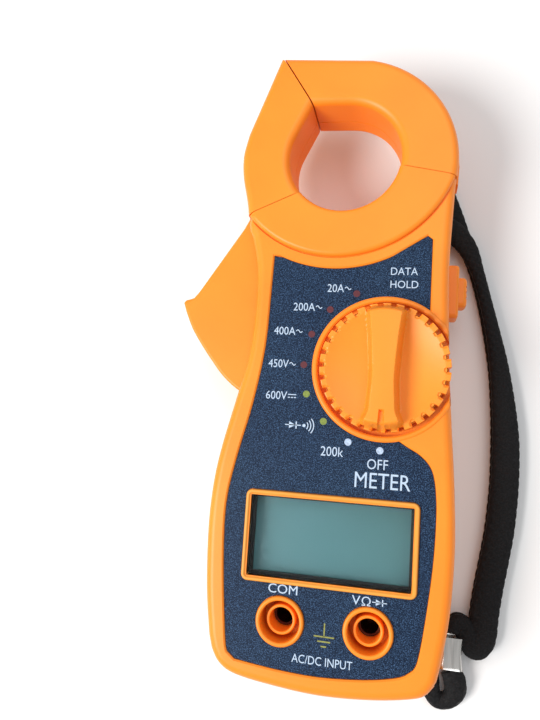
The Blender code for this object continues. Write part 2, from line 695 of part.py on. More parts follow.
def lever(tools):
    """The left jaw and the trigger wing: two shells with the moving core between them."""
    region = prism("keep left of tips", [left_side(JAW_GAP)], 0, 40)
    hollow = prism("cut wing hollow", [[
        (-21.9, 28.4), (-26.6, 23.6), (-32.5, 14.6), (-35.8, 11.4), (-34.8, 7.0), (-31.0, 0.9),
        (-26.6, -4.4), (-22.9, -6.2), (-21.4, 1.0), (-20.3, 9.0), (-19.7, 18.0), (-19.3, 28.4)]],
        ARM_LOW + 1.8, ARM_HIGH - 1.8)
    x, y = PIVOT
    spring_room = post("cut spring room", PIVOT, 12.3, 15.8, 2.8, steps=20)
    leg_way = box("cut spring leg way", (x, y + 1.5, 12.3), (x + 8, y + 3.1, 13.6))
    for name, other in (("lever_front", "tray"), ("lever_rear", "lid")):
        shell = ring(name, "casing_orange")
        keep(shell, region)
        arm = prism(f"add {name} arm", [arm_line()], ARM_LOW, ARM_HIGH, round_low=1.2,
                    round_high=1.2, segments=2)
        join(shell, arm)
        cut(shell, tools[other], tools["core"], hollow, tools["pin"], spring_room, leg_way)
        origin_at(shell, x, y, 0)


def cores():
    """Laminated core in two halves that meet at the tips and at the heel."""
    band = [window_line(CORE_OUTSIDE), window_line(CORE_INSIDE)]
    moving = prism("moving_core", band, CORE_LOW, CORE_HIGH, "core_steel")
    keep(moving, prism("keep moving core", [left_side(0.2)], 0, 40))
    origin_at(moving, *PIVOT, 0)
    fixed = prism("fixed_core", band, CORE_LOW, CORE_HIGH, "core_steel")
    cut(fixed, prism("cut moving core", [left_side(-0.2)], 0, 40))


def pickup_coil():
    """The winding on the fixed core, wrapped in tape."""
    sector = arc(WINDOW, 22.2, 248, 300, 12) + arc(WINDOW, 15.5, 300, 248, 12)
    coil = prism("pickup_coil", [sector], 12.2, 23.0, "coil_tape", 0.4, 0.4, 1)
    play = 0.15
    cut(coil, prism("cut coil core way",
                    [window_line(CORE_OUTSIDE + play), window_line(CORE_INSIDE - play)],
                    CORE_LOW - play, CORE_HIGH + play))
    wire("coil_leads", smooth([(0.6, 23.6, 17.5), (1.2, 22.2, 18.6), (2.6, 20.6, 18.4),
                               (4.0, 19.0, 16.6), (4.4, 18.6, BOARD_HIGH + 0.2)], 2), 0.4,
         "copper_wire", 1)


def pivot():
    x, y = PIVOT
    post("pivot_pin", PIVOT, 4.4, 23.0, PIN_RADIUS, "steel", steps=20)
    coil = helix((x, y, 12.75), 2, 2.2, 3.5, 2.5, first=90, per_turn=8)
    long_leg = [(x + 5.4, y + 2.2, 12.75)]
    short_leg = [(x - 0.3, y - 7.0, 15.25)]
    spring = wire("lever_spring", long_leg + coil + short_leg, 0.33, "steel", 1)
    origin_at(spring, x, y, 12.75)


# ---------------------------------------------------------------- inside

def board():
    """Circuit board with the chip and the larger components of the measuring circuit."""
    outline = [(-1.2, -13.4), (-1.2, 15.5), (3.0, 20.6), (18.3, 20.6), (18.3, 8.4), (20.9, 5.0),
               (21.6, -12.8), (16.9, -14.4), (16.9, -21.4), (23.4, -22.4), (24.3, -38.0),
               (23.6, -50.6), (-23.6, -50.6), (-24.4, -38.0), (-23.2, -22.4), (-15.2, -20.4),
               (-15.2, -13.4)]
    plate = prism("main_board", [outline], BOARD_LOW, BOARD_HIGH, "board_green")
    cut(plate, post("cut board hub hole", DIAL, 10, 20, 3.4, steps=20))
    post("chip_blob", (-8.0, -22.0), BOARD_HIGH + 0.1, BOARD_HIGH + 1.5, 4.6, "black_plastic", 20)
    post("capacitor", (14.5, 12.8), BOARD_LOW - 4.8, BOARD_LOW - 0.1, 2.2, "black_plastic", 16)
    post("buzzer", (6.5, 6.0), BOARD_LOW - 4.0, BOARD_LOW - 0.1, 5.0, "black_plastic", 24)
    box("shunt_resistor", (-13.0, -19.4, BOARD_LOW - 2.6), (-3.0, -17.0, BOARD_LOW - 0.1),
        "white_plastic")
    box("trim_pot", (11.6, -11.5, BOARD_LOW - 3.4), (15.6, -7.5, BOARD_LOW - 0.1), "white_plastic")
    post("thermistor", (8.5, -18.5), BOARD_LOW - 2.4, BOARD_LOW - 0.1, 2.4, "coil_tape", 16)
    for i, spot in enumerate(((6.0, 18.0), (-19.6, -24.6))):
        head = post(f"board_screw_{i + 1}", spot, BOARD_LOW - 1.4, BOARD_LOW - 0.1, 1.8, "steel", 14)
        join(head, post(f"add board screw shank {i}", spot, BOARD_LOW - 0.5, 19.5, 0.8, steps=10))
        cut(plate, post(f"cut board screw hole {i}", spot, 10, 20, 1.0, steps=12))


def hold_button():
    """Side button and the switch that it presses."""
    y = BUTTON_Y
    flange = box("hold_button", (20.3, y - 7.6, 7.1), (21.5, y + 7.6, 16.4), "casing_orange")
    stem = prism("add button stem", [rounded((21.0, y - 6.3), (26.7, y + 6.3), 0.9)], 8.2, 15.3)
    cap = prism("add button cap", [rounded((25.8, y - 3.6), (28.5, y + 3.6), 1.3)], 9.2, 14.3)
    join(flange, stem, cap)
    origin_at(flange, 21.0, y, 11.7)
    switch = box("hold_switch", (13.0, y - 1.2, 10.4), (17.6, y + 2.6, BOARD_LOW - 0.1),
                 "black_plastic")
    join(switch, rod("add switch plunger", (17.2, y + 0.7, 12.0), (18.9, y + 0.7, 12.0), 0.9, steps=12))


def batteries():
    """Two AAA cells in opposite directions, with plates and springs at their ends."""
    for i, (y, nub) in enumerate(zip(CELLS_Y, (1, -1))):
        cell = rod(f"battery_cell_{i + 1}", (-22.0 * nub, y, CELL_Z), (21.1 * nub, y, CELL_Z),
                   CELL_RADIUS, "cell_wrap")
        join(cell, rod(f"add nub {i}", (21.0 * nub, y, CELL_Z), (22.2 * nub, y, CELL_Z), 1.9, steps=16))
        start = -23.3 if nub == 1 else 22.2
        wire(f"battery_spring_{i + 1}", helix((start, y, CELL_Z), 0, 2.6, 2.0, 1.1, per_turn=8),
             0.25, "steel", 1)
    upper, lower = CELLS_Y
    near, far = 23.7, 24.1
    box("battery_bridge", (-far, lower - 4.4, 3.6), (-near, upper + 4.0, 11.2), "steel")
    box("battery_contact_plus", (near, upper - 4.0, 3.6), (far, upper + 4.0, 11.2), "steel")
    box("battery_contact_minus", (near, lower - 4.4, 3.6), (far, lower + 4.0, 11.2), "steel")


# ---------------------------------------------------------------- wrist strap

STRAP_ROUTE = [
    (28.2, -61.9, 4.2), (28.7, -60.5, 4.2), (30.2, -60.0, 4.0), (31.5, -61.6, 3.8),
    (32.4, -63.8, 3.7), (34.0, -64.7, 3.6), (35.2, -62.4, 3.6), (35.6, -57.0, 3.6),
    (36.4, -51.0, 3.6), (37.4, -45.0, 3.6), (38.6, -37.0, 3.6), (39.3, -27.0, 3.6),
    (39.3, -17.0, 3.6), (38.6, -8.0, 3.6), (37.3, 1.5, 3.6), (35.6, 10.0, 3.6),
    (33.6, 18.0, 3.6), (31.6, 25.0, 3.6), (29.0, 31.0, 3.6), (25.0, 35.6, 3.6),
    (19.5, 39.6, 3.4), (14.6, 44.2, 2.9), (13.6, 49.4, 2.1), (16.6, 53.0, 1.3),
    (21.2, 52.0, 1.2), (23.6, 47.4, 1.2), (25.2, 41.0, 1.2), (28.2, 33.6, 1.2),
    (31.0, 26.0, 1.2), (33.4, 17.6, 1.2), (35.4, 9.0, 1.2), (37.2, 0.0, 1.2),
    (38.4, -9.0, 1.2), (39.1, -18.5, 1.2), (39.1, -28.0, 1.2), (38.3, -38.0, 1.2),
    (37.2, -45.5, 1.2), (36.2, -51.5, 1.2), (35.5, -57.0, 1.2), (35.0, -62.4, 1.2),
    (33.8, -64.4, 1.2), (32.4, -63.6, 1.2), (31.4, -61.5, 1.2), (30.1, -60.1, 1.3),
    (28.7, -60.6, 1.5), (28.2, -61.9, 1.7)]
LOOP_ROUTE = [
    (28.3, -70.5, 3.6), (29.4, -73.0, 3.2), (29.6, -75.6, 2.4), (28.2, -77.8, 1.7),
    (25.9, -78.3, 1.6), (24.4, -76.6, 2.1), (23.9, -74.4, 2.7), (23.6, -72.0, 3.0)]


STRAP_RADIUS = 0.95


def strap():
    """Woven wrist strap: a long loop gathered in a metal clip, and a short loop to the case."""
    wire("wrist_strap", smooth(STRAP_ROUTE, 2), STRAP_RADIUS, "strap_black")
    wire("strap_loop", smooth(LOOP_ROUTE, 3), STRAP_RADIUS, "strap_black")
    prism("strap_clip", [rounded((25.6, -70.1), (31.0, -62.9), 0.8)], 0.4, 5.6, "steel")


for leftover in list(bpy.data.objects):
    bpy.data.objects.remove(leftover)
parts = collection("clamp_meter")
cutters = collection("cutters")
shared = make_tools()
front_case(shared)
rear_case(shared)
battery_door()
fasteners()
face_label()
display()
sockets()
dial()
fixed_jaw(shared)
lever(shared)
cores()
pickup_coil()
pivot()
board()
hold_button()
batteries()
strap()
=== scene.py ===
"""Pocket clamp meter, lying on its back with its woven wrist strap beside it.

Sizes are millimetres and become metres as each mesh is made. X runs across the case, +Y runs
along it towards the jaws, and +Z points out of the face.
"""

import json

import bmesh
import bpy
import numpy as np
from mathutils import Matrix, Vector

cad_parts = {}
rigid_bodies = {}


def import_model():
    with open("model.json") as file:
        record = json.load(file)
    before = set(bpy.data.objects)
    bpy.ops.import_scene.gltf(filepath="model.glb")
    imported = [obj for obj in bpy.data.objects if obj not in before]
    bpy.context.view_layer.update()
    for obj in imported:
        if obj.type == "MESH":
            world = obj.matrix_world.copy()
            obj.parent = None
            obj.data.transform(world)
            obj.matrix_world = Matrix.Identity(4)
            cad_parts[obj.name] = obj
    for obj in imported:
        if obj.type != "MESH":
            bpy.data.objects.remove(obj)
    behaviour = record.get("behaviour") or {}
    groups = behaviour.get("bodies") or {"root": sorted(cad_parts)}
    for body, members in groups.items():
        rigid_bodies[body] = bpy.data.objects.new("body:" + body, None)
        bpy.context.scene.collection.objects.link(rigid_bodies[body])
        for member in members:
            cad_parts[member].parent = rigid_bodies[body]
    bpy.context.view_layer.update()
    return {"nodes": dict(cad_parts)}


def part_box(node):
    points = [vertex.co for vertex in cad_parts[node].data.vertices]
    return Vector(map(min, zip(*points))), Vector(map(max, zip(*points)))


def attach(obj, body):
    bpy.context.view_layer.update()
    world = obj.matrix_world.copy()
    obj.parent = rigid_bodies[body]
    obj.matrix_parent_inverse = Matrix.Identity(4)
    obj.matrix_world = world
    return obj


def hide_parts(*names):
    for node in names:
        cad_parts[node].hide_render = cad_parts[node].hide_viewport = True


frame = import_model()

MM = 0.001

# ---------------------------------------------------------------- camera
# A short lens close above the display, tilted a little so that the jaws fall away.

lens = bpy.data.cameras.new("camera")
lens.lens = 31.5
lens.sensor_width = 36.0
lens.clip_start = 0.005
camera = bpy.data.objects.new("camera", lens)
bpy.context.scene.collection.objects.link(camera)
tilt = Vector((0.12231649, 0.21842427, 0.05523256))
camera.matrix_world = (Matrix.Translation(Vector((16.567, -18.597, 164.392)) * MM)
                       @ Matrix.Rotation(tilt.length, 4, tilt))
bpy.context.scene.camera = camera

# ---------------------------------------------------------------- wrist strap
# A flat tube of braided black nylon, doubled into a hand loop. It is cut to length, heat-sealed
# and gathered in a metal clip, and it bunches up where it turns under the jaws.


def curve_through(points, steps):
    """A Catmull-Rom curve: every span is a cubic in t, weighted over its four nearest points."""
    held = np.asarray(points, float)
    held = np.vstack((held[:1], held, held[-1:]))
    t = np.arange(steps) / steps
    weights = 0.5 * np.stack((2 * t**2 - t - t**3, 2 - 5 * t**2 + 3 * t**3,
                              t + 4 * t**2 - 3 * t**3, t**3 - t**2), axis=1)
    spans = np.stack((held[:-3], held[1:-2], held[2:-1], held[3:]), axis=1)
    return np.vstack((np.einsum("sk,nkd->nsd", weights, spans).reshape(-1, held.shape[1]),
                      held[-1:]))


def evenly(line, spacing, columns=3):
    """The same line with points at equal distances, measured along its first columns."""
    steps = np.linalg.norm(np.diff(line[:, :columns], axis=0), axis=1)
    along = np.concatenate(([0.0], np.cumsum(steps)))
    at = np.linspace(0, along[-1], max(2, round(along[-1] / spacing)) + 1)
    return np.stack([np.interp(at, along, column) for column in line.T], axis=1), at


def grid_faces(rows, columns, wrap=False):
    """Quads between neighbouring rows of a grid of points, closed round each row if wrapped."""
    r = np.arange(rows - 1)[:, None] * columns
    c = np.arange(columns if wrap else columns - 1)[None]
    n = (c + 1) % columns
    return np.stack(np.broadcast_arrays(r + c, r + n, r + columns + n, r + columns + c),
                    axis=-1).reshape(-1, 4).tolist()


def tube_faces(rows, columns):
    """A grid that is closed round each row, with a flat face over its first and last row."""
    last = (rows - 1) * columns
    return grid_faces(rows, columns, True) + [
        list(range(columns)), list(range(last, last + columns))]


def loose_object(name, points, faces):
    """A mesh object from points in millimetres, with its normals turned outwards."""
    mesh = bpy.data.meshes.new(name)
    mesh.from_pydata((np.asarray(points) * MM).tolist(), [], faces)
    form = bmesh.new()
    form.from_mesh(mesh)
    bmesh.ops.remove_doubles(form, verts=form.verts, dist=1e-7)
    bmesh.ops.recalc_face_normals(form, faces=form.faces)
    form.to_mesh(mesh)
    form.free()
    made = bpy.data.objects.new(name, mesh)
    bpy.context.scene.collection.objects.link(made)
    return made


def dressed(made, look, body="case", sharp=32):
    """Smooth shading up to the sharp edges, a material, and the CAD body to move with."""
    mesh = made.data
    mesh.polygons.foreach_set("use_smooth", np.ones(len(mesh.polygons), bool))
    mesh.set_sharp_from_angle(angle=np.radians(sharp))
    mesh.materials.clear()
    mesh.materials.append(look)
    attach(made, body)
    return made


def new_material(name, roughness, metallic=0.0):
    made = bpy.data.materials.new(name)
    made.use_nodes = True
    shader = made.node_tree.nodes["Principled BSDF"]
    shader.inputs["Roughness"].default_value = roughness
    shader.inputs["Metallic"].default_value = metallic
    return made, made.node_tree, shader


def node(tree, kind, **values):
    """A shader node with its sockets, or its own settings, filled in by name."""
    made = tree.nodes.new(kind)
    for key, value in values.items():
        if key in made.inputs:
            made.inputs[key].default_value = value
        else:
            setattr(made, key, value)
    return made


def noise_of(tree, scale, detail=2.0, source="Object"):
    """Noise on Object coordinates, or on the piece's own UV map."""
    place = node(tree, "ShaderNodeTexCoord")
    noise = node(tree, "ShaderNodeTexNoise", Scale=scale, Detail=detail)
    tree.links.new(place.outputs[source], noise.inputs["Vector"])
    return noise


def ramp_between(tree, value, low, high, start=0.3, end=0.7):
    """Two colours mixed by a value."""
    ramp = node(tree, "ShaderNodeValToRGB")
    ramp.color_ramp.elements[0].position = start
    ramp.color_ramp.elements[1].position = end
    ramp.color_ramp.elements[0].color = (*low, 1.0)
    ramp.color_ramp.elements[1].color = (*high, 1.0)
    tree.links.new(value, ramp.inputs["Fac"])
    return ramp.outputs["Color"]


def bumped(tree, shader, height, strength, distance):
    bump = node(tree, "ShaderNodeBump", Strength=strength, Distance=distance)
    tree.links.new(height, bump.inputs["Height"])
    tree.links.new(bump.outputs["Normal"], shader.inputs["Normal"])


def braid_cloth():
    """Black nylon yarn: fine fibres across the plaits, and a faint dull sheen."""
    made, tree, shader = new_material("braided_nylon", 0.72)
    fibres = noise_of(tree, 2600.0, 4.0)
    tree.links.new(ramp_between(tree, fibres.outputs["Fac"], (0.0015, 0.0015, 0.002),
                                (0.014, 0.014, 0.016), 0.4, 0.8), shader.inputs["Base Color"])
    shader.inputs["Specular IOR Level"].default_value = 0.25
    shader.inputs["Sheen Weight"].default_value = 0.06
    shader.inputs["Sheen Roughness"].default_value = 0.4
    bumped(tree, shader, fibres.outputs["Fac"], 0.5, 0.0001)
    return made


def braid(name, route, plait, relief, around=36, spacing=0.2):
    """A flat braided tube: an ellipse of half width w and half thickness h carried along the
    route, swollen where two sets of crossed helical yarns lie on top, |cos(a+b)| over |cos(a-b)|.
    """
    line, along = evenly(curve_through(route, 6), spacing)
    place, half_width, half_thick = line[:, :3], line[:, 3:4], line[:, 4:5]
    tangent = np.gradient(place, axis=0)
    tangent /= np.linalg.norm(tangent, axis=1)[:, None]
    side = np.cross(tangent, (0.0, 0.0, 1.0))
    side /= np.linalg.norm(side, axis=1)[:, None]
    up = np.cross(side, tangent)
    turn = np.linspace(0, 2 * np.pi, around, endpoint=False)
    phase = 2 * np.pi * along[:, None] / plait
    yarns = np.maximum(np.abs(np.cos(phase / 2 + 3 * turn)), np.abs(np.cos(phase / 2 - 3 * turn)))
    swell = relief * (yarns**2 - 0.75)
    across = (half_width + swell) * np.cos(turn)
    height = (half_thick + swell) * np.sign(np.sin(turn)) * np.abs(np.sin(turn))**0.8
    points = (place[:, None] + across[..., None] * side[:, None]
              + height[..., None] * up[:, None])
    return loose_object(name, points.reshape(-1, 3), tube_faces(len(line), around)), place


STRAP_ROUTE = np.array([
    (28.2, -61.9, 4.2), (28.7, -60.5, 4.2), (30.2, -60.0, 4.0), (31.5, -61.6, 3.8),
    (32.4, -63.8, 3.7), (34.0, -64.7, 3.6), (35.2, -62.4, 3.6), (35.6, -57.0, 3.6),
    (36.4, -51.0, 3.6), (37.4, -45.0, 3.6), (38.6, -37.0, 3.6), (39.3, -27.0, 3.6),
    (39.3, -17.0, 3.6), (38.6, -8.0, 3.6), (37.3, 1.5, 3.6), (35.6, 10.0, 3.6),
    (33.6, 18.0, 3.6), (31.6, 25.0, 3.6), (29.0, 31.0, 3.6), (25.0, 35.6, 3.6),
    (19.5, 39.6, 3.4), (14.6, 44.2, 2.9), (13.6, 49.4, 2.1), (16.6, 53.0, 1.3),
    (21.2, 52.0, 1.2), (23.6, 47.4, 1.2), (25.2, 41.0, 1.2), (28.2, 33.6, 1.2),
    (31.0, 26.0, 1.2), (33.4, 17.6, 1.2), (35.4, 9.0, 1.2), (37.2, 0.0, 1.2),
    (38.4, -9.0, 1.2), (39.1, -18.5, 1.2), (39.1, -28.0, 1.2), (38.3, -38.0, 1.2),
    (37.2, -45.5, 1.2), (36.2, -51.5, 1.2), (35.5, -57.0, 1.2), (35.0, -62.4, 1.2),
    (33.8, -64.4, 1.2), (32.4, -63.6, 1.2), (31.4, -61.5, 1.2), (30.1, -60.1, 1.3),
    (28.7, -60.6, 1.5), (28.2, -61.9, 1.7)])
STRAP_HALF_WIDTHS = np.array([
    1.9, 2.0, 2.3, 2.5, 2.7, 2.9, 3.1, 3.2, 3.2, 3.2, 3.2, 3.2, 3.1, 2.7, 2.2, 1.7, 1.5, 1.6,
    2.4, 2.7, 2.0, 1.3, 1.2, 1.2, 1.2, 1.5, 2.4, 2.0, 1.5, 1.5, 1.7, 2.1, 2.6, 3.0, 3.1, 3.1,
    3.1, 3.1, 3.1, 3.0, 2.8, 2.6, 2.4, 2.2, 1.9, 1.8])
STRAP_THICKNESS = 2.1
PLAIT = 2.3
PLAIT_RELIEF = 0.16
nylon = braid_cloth()
strap_table = np.column_stack((STRAP_ROUTE, STRAP_HALF_WIDTHS,
                               np.full(len(STRAP_ROUTE), STRAP_THICKNESS / 2)))
wrist_strap, strap_line = braid("wrist_strap_braid", strap_table, PLAIT, PLAIT_RELIEF)
dressed(wrist_strap, nylon, sharp=80)
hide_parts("wrist_strap")

LOOP_ROUTE = np.array([
    (28.3, -70.5, 3.6), (29.4, -73.0, 3.2), (29.6, -75.6, 2.4), (28.2, -77.8, 1.7),
    (25.9, -78.3, 1.6), (24.4, -76.6, 2.1), (23.9, -74.4, 2.7), (23.6, -72.0, 3.0)])
loop_table = np.column_stack((LOOP_ROUTE, [2.3, 2.6, 2.4, 2.0, 1.9, 2.0, 2.2, 2.2],
                              [1.2, 1.5, 1.6, 1.5, 1.4, 1.5, 1.5, 1.3]))
strap_loop, _ = braid("strap_loop_braid", loop_table, PLAIT, PLAIT_RELIEF, spacing=0.15)
dressed(strap_loop, nylon, sharp=80)
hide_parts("strap_loop")

# ---------------------------------------------------------------- strap clip
# Bright sheet steel folded round the two strands and squeezed flat, with its ends rolled out
# so that they don't cut the braid.


def rounded_box_line(low, high, radius, steps=6):
    """A rectangle whose corners are quarter circles, anticlockwise."""
    low, high = np.asarray(low, float), np.asarray(high, float)
    turn = np.linspace(0, np.pi / 2, steps + 1)
    starts = np.arange(4)[:, None] * np.pi / 2
    centres = np.array([(high[0] - radius, high[1] - radius), (low[0] + radius, high[1] - radius),
                        (low[0] + radius, low[1] + radius), (high[0] - radius, low[1] + radius)])
    ring = np.stack((np.cos(starts + turn), np.sin(starts + turn)), axis=-1) * radius
    return (centres[:, None] + ring).reshape(-1, 2)


def bright_metal(name, colour, roughness, scratch=1400.0):
    """Bare or plated metal: a stretched noise gives fine drawn lines and uneven polish."""
    made, tree, shader = new_material(name, roughness, 1.0)
    place = node(tree, "ShaderNodeTexCoord")
    drawn = node(tree, "ShaderNodeMapping")
    drawn.inputs["Scale"].default_value = (scratch, scratch * 0.06, scratch)
    lines = node(tree, "ShaderNodeTexNoise", Scale=1.0, Detail=3.0)
    tree.links.new(place.outputs["Object"], drawn.inputs["Vector"])
    tree.links.new(drawn.outputs["Vector"], lines.inputs["Vector"])
    dark = tuple(0.72 * c for c in colour)
    tree.links.new(ramp_between(tree, lines.outputs["Fac"], dark, colour),
                   shader.inputs["Base Color"])
    bumped(tree, shader, lines.outputs["Fac"], 0.25, 0.00005)
    return made


def folded_clip():
    """A flat tube: the rounded section is scaled along its length, wider at both mouths, and the
    wall runs back inside it, so that outside and inside close into one skin."""
    (x0, y0, z0), (x1, y1, z1) = (np.array(corner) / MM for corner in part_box("strap_clip"))
    section = rounded_box_line((-0.5, -0.5), (0.5, 0.5), 0.18)
    along = np.linspace(0, 1, 25)
    flare = 1 - 0.13 * np.sin(np.pi * along) ** 0.5
    wall = 0.45
    out_x, out_z = (x1 - x0) * flare, (z1 - z0) * flare
    width = np.concatenate((out_x, (out_x - 2 * wall)[::-1], out_x[:1]))
    height = np.concatenate((out_z, (out_z - 2 * wall)[::-1], out_z[:1]))
    lie = np.concatenate((along, along[::-1], along[:1])) * (y1 - y0) + y0
    points = np.stack((
        (x0 + x1) / 2 + width[:, None] * section[:, 0],
        np.broadcast_to(lie[:, None], (len(lie), len(section))),
        (z0 + z1) / 2 + height[:, None] * section[:, 1]), axis=-1)
    return loose_object("folded_clip", points.reshape(-1, 3),
                        grid_faces(len(lie), len(section), True))


clip = folded_clip()
dressed(clip, bright_metal("bright_steel", (0.78, 0.76, 0.73), 0.22))
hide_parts("strap_clip")

# ---------------------------------------------------------------- rear case
# The back half: satin orange ABS moulded in one shot, with a flat back, a screwed battery door
# and a stepped end under the jaws. It is screwed to the front half from behind.


def moulded(name, colour, deep, roughness, grain=900.0, depth=0.00002):
    """Moulded ABS: a faint cloudiness in the colour, a spark-eroded grain, and soft edges."""
    made, tree, shader = new_material(name, roughness)
    cloud = noise_of(tree, 45.0, 3.0)
    tree.links.new(ramp_between(tree, cloud.outputs["Fac"], deep, colour),
                   shader.inputs["Base Color"])
    shader.inputs["Subsurface Weight"].default_value = 0.05
    shader.inputs["Subsurface Radius"].default_value = (1.0, 0.35, 0.08)
    shader.inputs["Subsurface Scale"].default_value = 0.0015
    shader.inputs["Specular IOR Level"].default_value = 0.4
    bumped(tree, shader, noise_of(tree, grain, 3.0).outputs["Fac"], 0.35, depth)
    return made


def circle_line(centre, radius, steps=64, start=0.0, end=360.0):
    """Points on a circle, or on part of it with both ends, anticlockwise from an angle."""
    whole = end - start >= 360.0
    turn = np.radians(np.linspace(start, end, steps, endpoint=not whole))
    return np.asarray(centre) + radius * np.stack((np.cos(turn), np.sin(turn)), axis=1)


def moved_out(line, distance):
    """An outline moved out by a distance, each point along the mean normal of its two sides."""
    side = np.roll(line, -1, axis=0) - line
    side /= np.linalg.norm(side, axis=1)[:, None]
    out = np.stack((side[:, 1], -side[:, 0]), axis=1)
    area = np.sum(line[:, 0] * np.roll(line[:, 1], -1) - np.roll(line[:, 0], -1) * line[:, 1])
    mean = out + np.roll(out, 1, axis=0)
    mean /= np.linalg.norm(mean, axis=1)[:, None]
    reach = distance / np.maximum(0.4, np.sum(mean * out, axis=1))
    return line + np.sign(area) * mean * reach[:, None]


def stacked(name, outline, rows):
    """A solid of one outline at several heights: each row is (distance moved out, z)."""
    outline = np.asarray(outline, float)
    points = np.vstack([np.column_stack((moved_out(outline, out), np.full(len(outline), z)))
                        for out, z in rows])
    return loose_object(name, points, tube_faces(len(rows), len(outline)))


def round_rows(low, high, round_low=0.0, round_high=0.0, steps=6):
    """Rows of a wall whose rims are quarter circles; a negative radius flares outwards."""
    turn = np.linspace(0, np.pi / 2, steps + 1)
    foot = [(-round_low * (1 - np.sin(a)), low + abs(round_low) * (1 - np.cos(a))) for a in turn]
    head = [(-round_high * (1 - np.cos(a)), high - abs(round_high) * (1 - np.sin(a)))
            for a in turn]
    return (foot if round_low else [(0.0, low)]) + (head if round_high else [(0.0, high)])


def block(name, low, high):
    """A plain box, for cutting."""
    return stacked(name, rounded_box_line(low[:2], high[:2], 0.01, 1), [(0, low[2]), (0, high[2])])


def post(name, spot, low, high, radius, steps=48):
    return stacked(name, circle_line(spot, radius, steps), [(0, low), (0, high)])


def shared(tool):
    """A cutter that more than one piece needs, which outlives its first use."""
    tool["shared"] = True
    return tool


def worked(made, cut=(), keep=(), join=()):
    """Unite, cut and intersect a solid, leave the finished mesh in it, and drop the tools."""
    kinds = [("UNION", t) for t in join] + [("DIFFERENCE", t) for t in cut]
    for kind, tool in kinds + [("INTERSECT", t) for t in keep]:
        change = made.modifiers.new(tool.name, "BOOLEAN")
        change.operation = kind
        change.object = tool
    bpy.context.view_layer.update()
    graph = bpy.context.evaluated_depsgraph_get()
    made.data = bpy.data.meshes.new_from_object(made.evaluated_get(graph))
    made.modifiers.clear()
    for tool in (*cut, *keep, *join):
        if "shared" not in tool:
            bpy.data.objects.remove(tool)
    return made


def even_light(made):
    """Flat faces keep their own normals, so that only the round rims shade smoothly."""
    weighted = made.modifiers.new("flat faces first", "WEIGHTED_NORMAL")
    weighted.keep_sharp = True
    return made


PIVOT = (-20.5, 30.5)
WINDOW = (-0.65, 46.35)
WINDOW_RADIUS = 13.0
WINDOW_CORNER = 121.6
CRESCENT = (-1.5, 49.9)
CRESCENT_RADIUS = 27.4
CASE_SPLIT, CASE_TOP, JAW_LOW, JAW_TOP, JAW_SPLIT = 11.0, 24.4, 10.0, 25.5, 16.0
SPLIT_GAP = 0.15
STEP = 6.2
BUTTON_Y = 17.1
CASE_SCREWS = ((-19.5, -64.5), (19.5, -64.5), (-19.0, -16.5), (18.2, 27.0))
DOOR_SCREW = (0.4, -52.4)
HEEL_LINE = np.array([(-22.5, 32.4), (-10.4, 37.74)])
ROOT_LINE = np.array([(24.8, 41.0), (12.08, 43.7)])
TIP_LINE = np.array([(-16.6, 71.6), (-8.8, 59.5)])


def case_outline(top=60.0):
    """The case from the front: narrow waist, wider display end, and a round nose at the pivot."""
    right = curve_through([(24.7, 41.0), (24.3, 33.0), (23.9, 22.0), (24.1, 12.0), (24.7, -3.0),
                           (25.6, -15.0), (26.6, -28.0), (27.1, -41.0), (26.5, -54.0),
                           (25.0, -64.0)], 5)
    foot = curve_through([(24.3, -67.2), (22.6, -69.8), (19.6, -71.3), (11.0, -72.8),
                          (0.0, -73.5), (-11.0, -72.8), (-19.0, -71.6), (-22.6, -69.6),
                          (-24.4, -66.8)], 6)
    left = curve_through([(-25.2, -64.0), (-26.6, -54.0), (-27.3, -41.0), (-26.9, -31.0),
                          (-25.6, -22.5), (-22.8, -10.5), (-20.6, -1.0), (-19.8, 10.0),
                          (-20.1, 20.0), (-21.7, 27.4)], 5)
    nose = curve_through([(-22.35, 28.7), (-22.7, 30.0), (-22.75, 31.2), (-22.5, 32.6)], 3)
    return np.vstack(([(24.7, top)], right, foot, left, nose, [(-22.3, top)]))


def hollow_outline():
    """The inside of a 2 mm wall, up to the solid part under the crescent."""
    line = moved_out(case_outline(), -2.0)
    return np.vstack(([(21.9, 25.0)], line[line[:, 1] < 24.5], [(-19.0, 25.0)]))


def stretched(line, gap=0.0, far=40.0, near=6.0):
    """A seam's two ends drawn apart, and the seam moved to its left by a gap."""
    run = (line[1] - line[0]) / np.linalg.norm(line[1] - line[0])
    shift = np.array([-run[1], run[0]]) * gap
    return line[0] + shift - run * far, line[1] + shift + run * near


def over_the_crescent():
    """Everything beyond the seams that the two jaws stand on."""
    (heel_far, heel_near), (root_far, root_near) = stretched(HEEL_LINE), stretched(ROOT_LINE)
    return np.array([heel_far, heel_near, root_near, root_far, (80, root_far[1]), (80, 110),
                     (-80, 110), (-80, heel_far[1])])


def arm_space():
    """The slot that the trigger wing swings into."""
    boss = circle_line(PIVOT, 4.2, 4, -14, 0)[::-1]  # clears the boss of the lever by 0.6
    return np.vstack(([(-34, 38), (-16.5, 38)], boss, [
        (-15.4, 28.6), (-14.3, 27.0), (-13.2, 24.0), (-12, 10), (-12, -4), (-15, -10.4),
        (-34, -10.4)]))


def window_outline(radius, steps=72):
    """A circle with one square corner, where the tips of the jaws meet."""
    spread = 33.3
    round_part = circle_line(WINDOW, radius, steps, WINDOW_CORNER + spread,
                             WINDOW_CORNER + 360 - spread)
    corner = circle_line(WINDOW, radius / np.cos(np.radians(spread)), 2, WINDOW_CORNER,
                         WINDOW_CORNER + 1)[:1]
    return np.vstack((round_part, corner))


